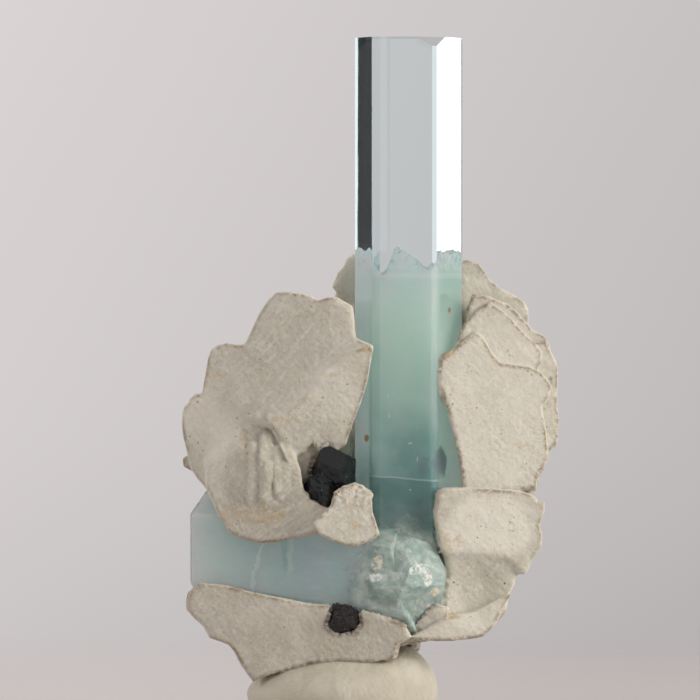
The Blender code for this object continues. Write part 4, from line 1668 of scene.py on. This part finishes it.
@dataclass
class AlbiteMatrix:
    """The bladed albite that the crystals grew on.

    Attributes:
        node: The frame node that it stands for.
        neighbours: The frame nodes that it touches.
        gap: The space that the frame leaves to them.
        voxel: Size of the cells that its surface is made again from.
        faces: How many triangles the finished piece has at most.
        edge: An edge that turns by this many degrees can be stained.
        smooth: Faces that meet at less than this many degrees look rounded.
        swell: How far the surface moves out to make up for the smoothing.
        front: Depths between which the relief of the front begins.
        pushed: Depths between which its steps, dents and ribs begin.
        rim_reach: How many rounds of averaging tell a rim from its surroundings.
        rim: How far a point stands out of them at least, and where it is a rim in full.
        melting: How many rounds of smoothing melt the blades together.
        stained: Distances from a rim between which its stain climbs.
        rear: Depths between which the back begins, which is made coarser.
        blade: Foot of the bright blade's upper edge, across and up, and its slope.
        ribbed: Where the upright ribs stand.
        seam: Where the lower right blades have grown together.
        ridge: The bright blade's rounded crest.
        plain_ridge: The part of it that has no stained rims.
        waves: The wavy face at the lower left.
        heads: The small round heads beside the crystals.
        layers: The relief, from broad to fine.
        ribs: The upright ribs.
        steps: Steps beside blades' edges.
        dents: Soft hollows in the front.
    """

    node: bpy.types.Object
    neighbours: Sequence[bpy.types.Object] = ()
    gap: float = 0.34
    voxel: float = 0.14
    faces: int = 190_000
    edge: float = 35.0
    smooth: float = 38.0
    swell: float = 0.05
    front: Pair = (-1.5, -3.0)
    pushed: Pair = (-3.0, -5.0)
    rim_reach: int = 14
    rim: Pair = (0.10, 0.30)
    melting: int = 90
    stained: Pair = (0.34, 0.02)
    rear: Pair = (-2.0, 1.0)
    blade: Triple = (-7.0, 29.5, 0.78)
    ribbed: Region = Region((-8.2, -6.0, 25.0), (4.4, 4.0, 4.4), 0.25)
    seam: Region = Region((14.2, -5.0, 16.0), (4.8, 4.0, 2.0), 0.3)
    ridge: Region = Region((-4.5, -7.5, 31.5), (3.6, 3.0, 2.6), 0.4)
    plain_ridge: Region = Region((-4.8, -7.5, 31.2), (4.4, 4.0, 3.0), 0.4)
    waves: Region = Region((-7.8, -7.0, 20.2), (5.0, 5.0, 2.2), 0.3)
    heads: Region = Region((1.2, -9.0, 22.8), (2.3, 3.0, 1.3), 0.3)
    layers: tuple[Relief, ...] = (
        Relief("swell", Grain.CLOUDY, 5.0, 0.35, where="inland"),
        Relief("lumps", Grain.CLOUDY, 1.8, 0.18, where="inland"),
        Relief("waves", Grain.CLOUDY, 1.0, 0.4, (5.0, 2.0, 0.5), (0.0, -24.0, 0.0), "waves"),
        Relief("heads", Grain.LUMPY, 0.6, 0.45, where="heads"),
        Relief("scallops", Grain.LUMPY, 1.1, 0.5, where="shore"),
        Relief("serration", Grain.CLOUDY, 0.35, 0.8, where="shore"),
        Relief("notches", Grain.CRYSTALLINE, 0.6, 0.4, where="shore"),
        Relief("cleavage", Grain.CLOUDY, 0.8, 0.10, (2.8, 1.0, 0.4), (0.0, 42.0, 0.0), "inland"),
        Relief("chips", Grain.CRYSTALLINE, 0.7, 0.08, middle=0.3),
        Relief("sugar", Grain.CLOUDY, 0.3, 0.05),
    )
    ribs: tuple[Rib, ...] = (
        Rib(-10.35, 0.8, 27.3, 22.0, 0.08),
        Rib(-8.75, 0.75, 28.0, 22.0, 0.12),
        Rib(-7.4, 0.5, 26.2, 22.4, 0.25),
        Rib(-5.5, 0.42, 25.9, 22.4, 0.1),
    )
    steps: tuple[Step, ...] = (Step((-5.4, 26.0), (-7.0, 29.4), 0.42, 2.6),)
    dents: tuple[Dent, ...] = (Dent(Region((13.0, -6.0, 13.0), (2.6, 5.0, 2.4), 0.6), 0.7),)

    def build(self) -> None:
        """Builds and dresses the piece."""
        obj = Bench.copy_node(self.node, "albite")
        rims = Bench.sharp_edges(obj, self.edge)
        Bench.modify(obj, "REMESH", mode="VOXEL", voxel_size=self.voxel * MM)
        self._masks(obj)
        Bench.modify(obj, "SMOOTH", factor=0.6, iterations=self.melting, vertex_group="melt")
        self._shape_front(obj)
        for layer in self.layers:
            Bench.press(obj, layer)
        for neighbour in self.neighbours:
            Bench.close_gap(obj, neighbour, self.gap)
        self._thin_out(obj)
        Bench.take(obj)
        bpy.ops.object.shade_smooth_by_angle(angle=math.radians(self.smooth))
        self._stain_rims(obj, rims)
        Bench.dress(obj, AlbiteFinish().build(), Slot.ALBITE, ["albite_matrix"])
        # Seen through the clear crystals, the albite behind them would turn their feet dark.
        obj.visible_transmission = False

    def _shape_front(self, obj: bpy.types.Object) -> None:
        """Pushes the front into its steps, dents and ribs.

        Args:
            obj: The piece.
        """
        points = Bench.points(obj)
        push = sum(cut.fall(points) for cut in (*self.steps, *self.dents))
        push = push - np.max([rib.rise(points) for rib in self.ribs], axis=0)
        points[:, 1] += push * ramp(points[:, 1], *self.pushed)
        Bench.place(obj, points + Bench.normals(obj) * self.swell)

    def _thin_out(self, obj: bpy.types.Object) -> None:
        """Takes the mesh down to its number of triangles, evenly first and then mostly at the back.

        Args:
            obj: The piece.
        """
        triangles = 2 * len(obj.data.polygons)
        first = min(1.0, 1.6 * self.faces / triangles)
        Bench.modify(obj, "DECIMATE", ratio=first, use_collapse_triangulate=True)
        Bench.mask(obj, "rear", ramp(Bench.points(obj)[:, 1], *self.rear))
        last = min(1.0, self.faces / len(obj.data.polygons))
        Bench.modify(
            obj, "DECIMATE", ratio=last, vertex_group="rear", use_collapse_triangulate=True
        )

    def _stain_rims(self, obj: bpy.types.Object, rims: KDTree) -> None:
        """Marks the blades' rims that iron has stained, for the finish to read.

        Args:
            obj: The piece.
            rims: Points along the rims.
        """
        points = Bench.points(obj)
        far = np.array([rims.find(place)[2] for place in points])
        plain = [
            self._melted(points),
            self.ribbed.mask(points),
            self.seam.mask(points),
            self.plain_ridge.mask(points) * 0.75,
            ramp(points[:, 1], 0.0, 3.0) * 0.6,
        ]
        stained = ramp(far, *self.stained) * (1.0 - np.maximum.reduce(plain))
        Bench.store(obj, "stained_rim", stained)

    @staticmethod
    def _inland(points: np.ndarray, cell: float = 0.4, reach: int = 4) -> np.ndarray:
        """How far inside the front outline each point lies.

        Args:
            points: The surface's points.
            cell: Size of the cells that the outline is drawn in.
            reach: The distance that counts as fully inside, in cells.

        Returns:
            0 at the outline and 1 from that distance on.
        """
        flat = np.floor((points[:, [0, 2]] - points[:, [0, 2]].min(axis=0)) / cell).astype(int) + 1
        grid = np.zeros(flat.max(axis=0) + 2, dtype=bool)
        grid[flat[:, 0], flat[:, 1]] = True
        depth = grid.astype(float)
        for _ in range(reach - 1):
            inner = grid.copy()
            inner[1:-1, 1:-1] &= grid[2:, 1:-1] & grid[:-2, 1:-1] & grid[1:-1, 2:] & grid[1:-1, :-2]
            depth += inner
            grid = inner
        return (depth[flat[:, 0], flat[:, 1]] - 1.0) / (reach - 1)

    def _melted(self, points: np.ndarray) -> np.ndarray:
        """Where the left rosette's blades have grown into one rounded surface.

        Args:
            points: The surface's points.

        Returns:
            A number from 0 to 1 for each point.
        """
        start, foot, slope = self.blade
        above = ramp(points[:, 2] - foot - (points[:, 0] - start) * slope, -0.2, 0.7)
        left = ramp(points[:, 0], -6.8, -7.8) * np.maximum(
            ramp(points[:, 2], 27.6, 28.6), ramp(points[:, 0], -11.0, -11.6)
        )
        front = ramp(points[:, 1], *self.front)
        return np.maximum(above, left) * ramp(points[:, 0], 2.0, 0.6) * front * self._inland(points)

    def _masks(self, obj: bpy.types.Object) -> None:
        """Writes the vertex groups that steer smoothing and relief.

        Args:
            obj: The piece.
        """
        points, normals = Bench.points(obj), Bench.normals(obj)
        rim = ramp(Bench.swelling(obj, self.rim_reach), *self.rim)
        front = ramp(points[:, 1], *self.front)
        softened = ((self.ribbed, 0.35), (self.seam, 0.8), (self.ridge, 0.12))
        soft = np.maximum.reduce([region.mask(points) * amount for region, amount in softened])
        Bench.mask(obj, "melt", np.maximum(self._melted(points), soft * front))
        Bench.mask(obj, "inland", 1.0 - rim)
        Bench.mask(obj, "shore", rim * ramp(np.abs(normals[:, 1]), 0.95, 0.6))
        Bench.mask(obj, "waves", self.waves.mask(points) * front)
        Bench.mask(obj, "heads", self.heads.mask(points) * front)


@dataclass
class TourmalineGroup:
    """The three black tourmalines.

    Attributes:
        nodes: The frame's nodes by name.
        voxel: Size of the cells that their surfaces are made again from.
        smooth: Faces that meet at less than this many degrees look rounded.
        tip: The pointed lower end of the largest one.
        tip_drop: How far it is drawn down, to close on the albite below it.
    """

    nodes: Mapping[str, bpy.types.Object]
    voxel: float = 0.075
    smooth: float = 28.0
    tip: Region = Region((-1.6, -7.0, 22.3), (0.8, 3.0, 1.1), 0.1)
    tip_drop: float = 0.85

    def build(self) -> None:
        """Builds and dresses the pieces."""
        glossy = TourmalineFinish("tourmaline_black").build()
        brown = TourmalineFinish("tourmaline_brown", brownness=0.75, roughness=0.38).build()
        self._crystal("tourmaline_large", "schorl_large", glossy, 0.05, 0.16)
        self._crystal("tourmaline_behind", "schorl_behind", glossy, 0.05, 0.16)
        self._crystal("tourmaline_small", "schorl_small", brown, 0.03, 0.55)

    def _crystal(
        self, node: str, name: str, material: bpy.types.Material, bevel: float, rough: float
    ) -> None:
        """One crystal: its edges rubbed, its faces striated or broken.

        Args:
            node: The frame node that it stands for.
            name: The new piece's name.
            material: Its material.
            bevel: Width of its rubbed edges.
            rough: Height of its grain.
        """
        obj = Bench.copy_node(self.nodes[node], name)
        Bench.modify(obj, "BEVEL", width=bevel * MM, segments=2, limit_method="ANGLE")
        Bench.modify(obj, "REMESH", mode="VOXEL", voxel_size=self.voxel * MM)
        points = Bench.points(obj)
        points[:, 2] -= self.tip_drop * self.tip.mask(points)
        Bench.place(obj, points)
        steps = Relief("steps", Grain.CRYSTALLINE, 1.2, rough, (1.0, 1.0, 1.6), middle=0.3)
        Bench.press(obj, steps)
        Bench.press(obj, Relief("pits", Grain.CLOUDY, 0.3, rough * 0.5))
        Bench.take(obj)
        bpy.ops.object.shade_smooth_by_angle(angle=math.radians(self.smooth))
        Bench.dress(obj, material, Slot.TOURMALINE, [node])


@dataclass
class PuttyStand:
    """The lump of mounting putty.

    Attributes:
        node: The frame node that it stands for.
        voxel: Size of the cells that its surface is made again from.
        rounding: How many rounds of smoothing take its edges off.
        worked: Heights between which the flat underside gives way to the worked upper part.
        relief: The marks of fingers.
    """

    node: bpy.types.Object
    voxel: float = 0.16
    rounding: int = 50
    worked: Pair = (0.5, 1.2)
    relief: tuple[Relief, ...] = (
        Relief("dents", Grain.CLOUDY, 3.4, 0.35, where="upper", middle=0.15),
        Relief("swirls", Grain.CLOUDY, 0.42, 0.16, (1.0, 2.0, 5.0), (0.0, 38.0, 20.0), "upper"),
    )

    def build(self) -> None:
        """Builds and dresses the piece."""
        obj = Bench.copy_node(self.node, "putty")
        Bench.modify(obj, "REMESH", mode="VOXEL", voxel_size=self.voxel * MM)
        Bench.mask(obj, "upper", ramp(Bench.points(obj)[:, 2], *self.worked))
        Bench.modify(obj, "SMOOTH", factor=0.6, iterations=self.rounding, vertex_group="upper")
        for layer in self.relief:
            Bench.press(obj, layer)
        Bench.take(obj)
        bpy.ops.object.shade_smooth()
        Bench.dress(obj, PuttyFinish().build(), Slot.PUTTY, ["putty_stand"])


# ------------------------------------------------------------------- the studio


@dataclass(frozen=True)
class Card:
    """A card that only reflections and the clear crystal see.

    Attributes:
        name: Its name.
        way: Its direction from the specimen.
        brightness: Its light, or 0 for a black card.
        size: Its width and height.
        distance: How far off it stands.
    """

    name: str
    way: Triple
    brightness: float
    size: Pair
    distance: float = 600.0

    def build(self, target: Vector) -> None:
        """Stands the card up, facing the specimen.

        Args:
            target: What it faces, in metres.
        """
        direction = Vector(self.way).normalized()
        bpy.ops.object.select_all(action="DESELECT")
        bpy.ops.mesh.primitive_plane_add(size=1.0)
        obj = bpy.context.object
        obj.name = self.name
        obj.location = direction * self.distance * MM + target
        obj.rotation_euler = (-direction).to_track_quat("Z", "Y").to_euler()
        obj.scale = (self.size[0] * MM, self.size[1] * MM, 1.0)
        obj.data.materials.append(CardFinish(self.name, self.brightness).build())
        obj.visible_camera = obj.visible_diffuse = obj.visible_shadow = False


@dataclass(frozen=True)
class Air:
    """The air all round: even at eye height, brighter overhead and across from the key light.

    Attributes:
        horizon: Its colour at eye height.
        reach: Up to where the tilt is seen, as a direction's part sideways or upwards.
        tilt: How fast it darkens to the right and brightens upwards.
        ahead: Parts forwards between which the tilt begins.
        low: Where it darkens just below eye height, and by how much.
        overhead: Where it brightens overhead, and by how much.
        beneath: Where it darkens below the floor's level, and by how much.
        fill_way: Where it is brighter, across from the key light.
        fill: How near to that way it brightens, and by how much.
    """

    horizon: Triple = (0.600, 0.570, 0.566)
    reach: float = 0.06
    tilt: Pair = (-2.3, 1.3)
    ahead: Pair = (0.90, 0.99)
    low: Triple = (-0.006, -0.05, -0.085)
    overhead: Triple = (0.18, 0.9, 0.15)
    beneath: Triple = (-0.12, -0.6, -0.35)
    fill_way: Triple = (-0.98, -0.15, 0.1)
    fill: Triple = (0.3, 0.9, 0.45)

    def build(self) -> None:
        """Makes the world."""
        world = bpy.data.worlds.new("air")
        bpy.context.scene.world = world
        tree = ShaderTree(world, "Generated", 1.0)
        across, deep, up = tree.axes()
        slope = across.held(self.reach) * self.tilt[0] + up.held(self.reach) * self.tilt[1]
        strength = slope * deep.step(*self.ahead) + 1.0
        facing = tree.measure("DOT_PRODUCT", tree.place, self.fill_way)
        changes = ((up, self.low), (up, self.overhead), (up, self.beneath), (facing, self.fill))
        for value, (start, end, amount) in changes:
            strength = strength + value.step(start, end) * amount
        light = {"Color": (*self.horizon, 1.0), "Strength": strength}
        air = tree.node("ShaderNodeBackground", None, light)
        tree.node("ShaderNodeOutputWorld", None, {"Surface": air.outputs[0]})


@dataclass(frozen=True)
class KeyLight:
    """The one large soft light.

    Attributes:
        way: Its direction from the specimen.
        distance: How far off it stands.
        size: How wide and high it is.
        power: Its power in watts.
        colour: Its colour.
    """

    way: Triple = (0.88, -0.40, 0.333)
    distance: float = 900.0
    size: float = 440.0
    power: float = 6.8
    colour: Triple = (1.0, 0.985, 0.95)

    def build(self, target: Vector) -> None:
        """Hangs the light.

        Args:
            target: What it shines at, in metres.
        """
        data = bpy.data.lights.new("key", "AREA")
        data.shape = "SQUARE"
        data.size = self.size * MM
        data.energy = self.power
        data.color = self.colour
        obj = bpy.data.objects.new("key", data)
        bpy.context.scene.collection.objects.link(obj)
        direction = Vector(self.way).normalized()
        obj.location = direction * self.distance * MM + target
        obj.rotation_euler = direction.to_track_quat("Z", "Y").to_euler()
        obj.visible_camera = obj.visible_glossy = False


@dataclass
class Studio:
    """The floor, the light and the camera.

    Attributes:
        target: What the camera looks at.
        distance: From there to the camera.
        lens: Focal length.
        sensor: The width of the camera's sensor.
        sight: The nearest and the farthest that the camera sees.
        floor: The floor's radius.
        cards: What reflections show.
    """

    target: Triple = (0.8, -1.5, 37.0)
    distance: float = 800.0
    lens: float = 411.4
    sensor: float = 36.0
    sight: Pair = (50.0, 10_000.0)
    floor: float = 260.0
    cards: tuple[Card, ...] = (
        Card("card_bright", (-0.707, 0.707, 0.03), 2.4, (150.0, 200.0)),
        Card("card_dark", (0.72, 0.694, 0.03), 0.0, (100.0, 260.0)),
        Card("card_lilac", (-0.314, 0.949, 0.03), 0.80, (60.0, 260.0)),
        Card("card_shade", (-0.878, 0.467, 0.101), 0.25, (110.0, 90.0)),
        Card("card_edge", (0.866, -0.50, 0.03), 1.15, (90.0, 300.0)),
    )

    def build(self) -> None:
        """Builds everything that isn't the specimen."""
        target = Vector(self.target) * MM
        self._floor()
        Air().build()
        KeyLight().build(target)
        for card in self.cards:
            card.build(target)
        self._camera(target)
        bpy.context.scene.view_settings.view_transform = "Standard"

    def _floor(self) -> None:
        """A round pale floor."""
        bpy.ops.object.select_all(action="DESELECT")
        bpy.ops.mesh.primitive_circle_add(vertices=96, radius=self.floor * MM, fill_type="NGON")
        obj = bpy.context.object
        obj.name = "floor"
        obj.data.materials.append(FloorFinish().build())

    def _camera(self, target: Vector) -> None:
        """A long lens at the specimen's own height.

        Args:
            target: What it looks at, in metres.
        """
        data = bpy.data.cameras.new("camera")
        data.lens = self.lens
        data.sensor_width = self.sensor
        data.clip_start, data.clip_end = (reach * MM for reach in self.sight)
        obj = bpy.data.objects.new("camera", data)
        bpy.context.scene.collection.objects.link(obj)
        obj.location = target - Vector((0.0, self.distance * MM, 0.0))
        obj.rotation_euler = (math.radians(90.0), 0.0, 0.0)
        bpy.context.scene.camera = obj


def main() -> None:
    """Builds the specimen's looks and its studio."""
    logging.basicConfig(level=logging.INFO, format="%(name)s: %(message)s")
    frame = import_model()
    nodes = frame["nodes"]
    AquamarineCluster(nodes["aquamarine_crystals"]).build()
    touching = [node for name, node in nodes.items() if name != "albite_matrix"]
    AlbiteMatrix(nodes["albite_matrix"], touching).build()
    TourmalineGroup(nodes).build()
    PuttyStand(nodes["putty_stand"]).build()
    Studio().build()


if __name__ == "__main__":
    main()
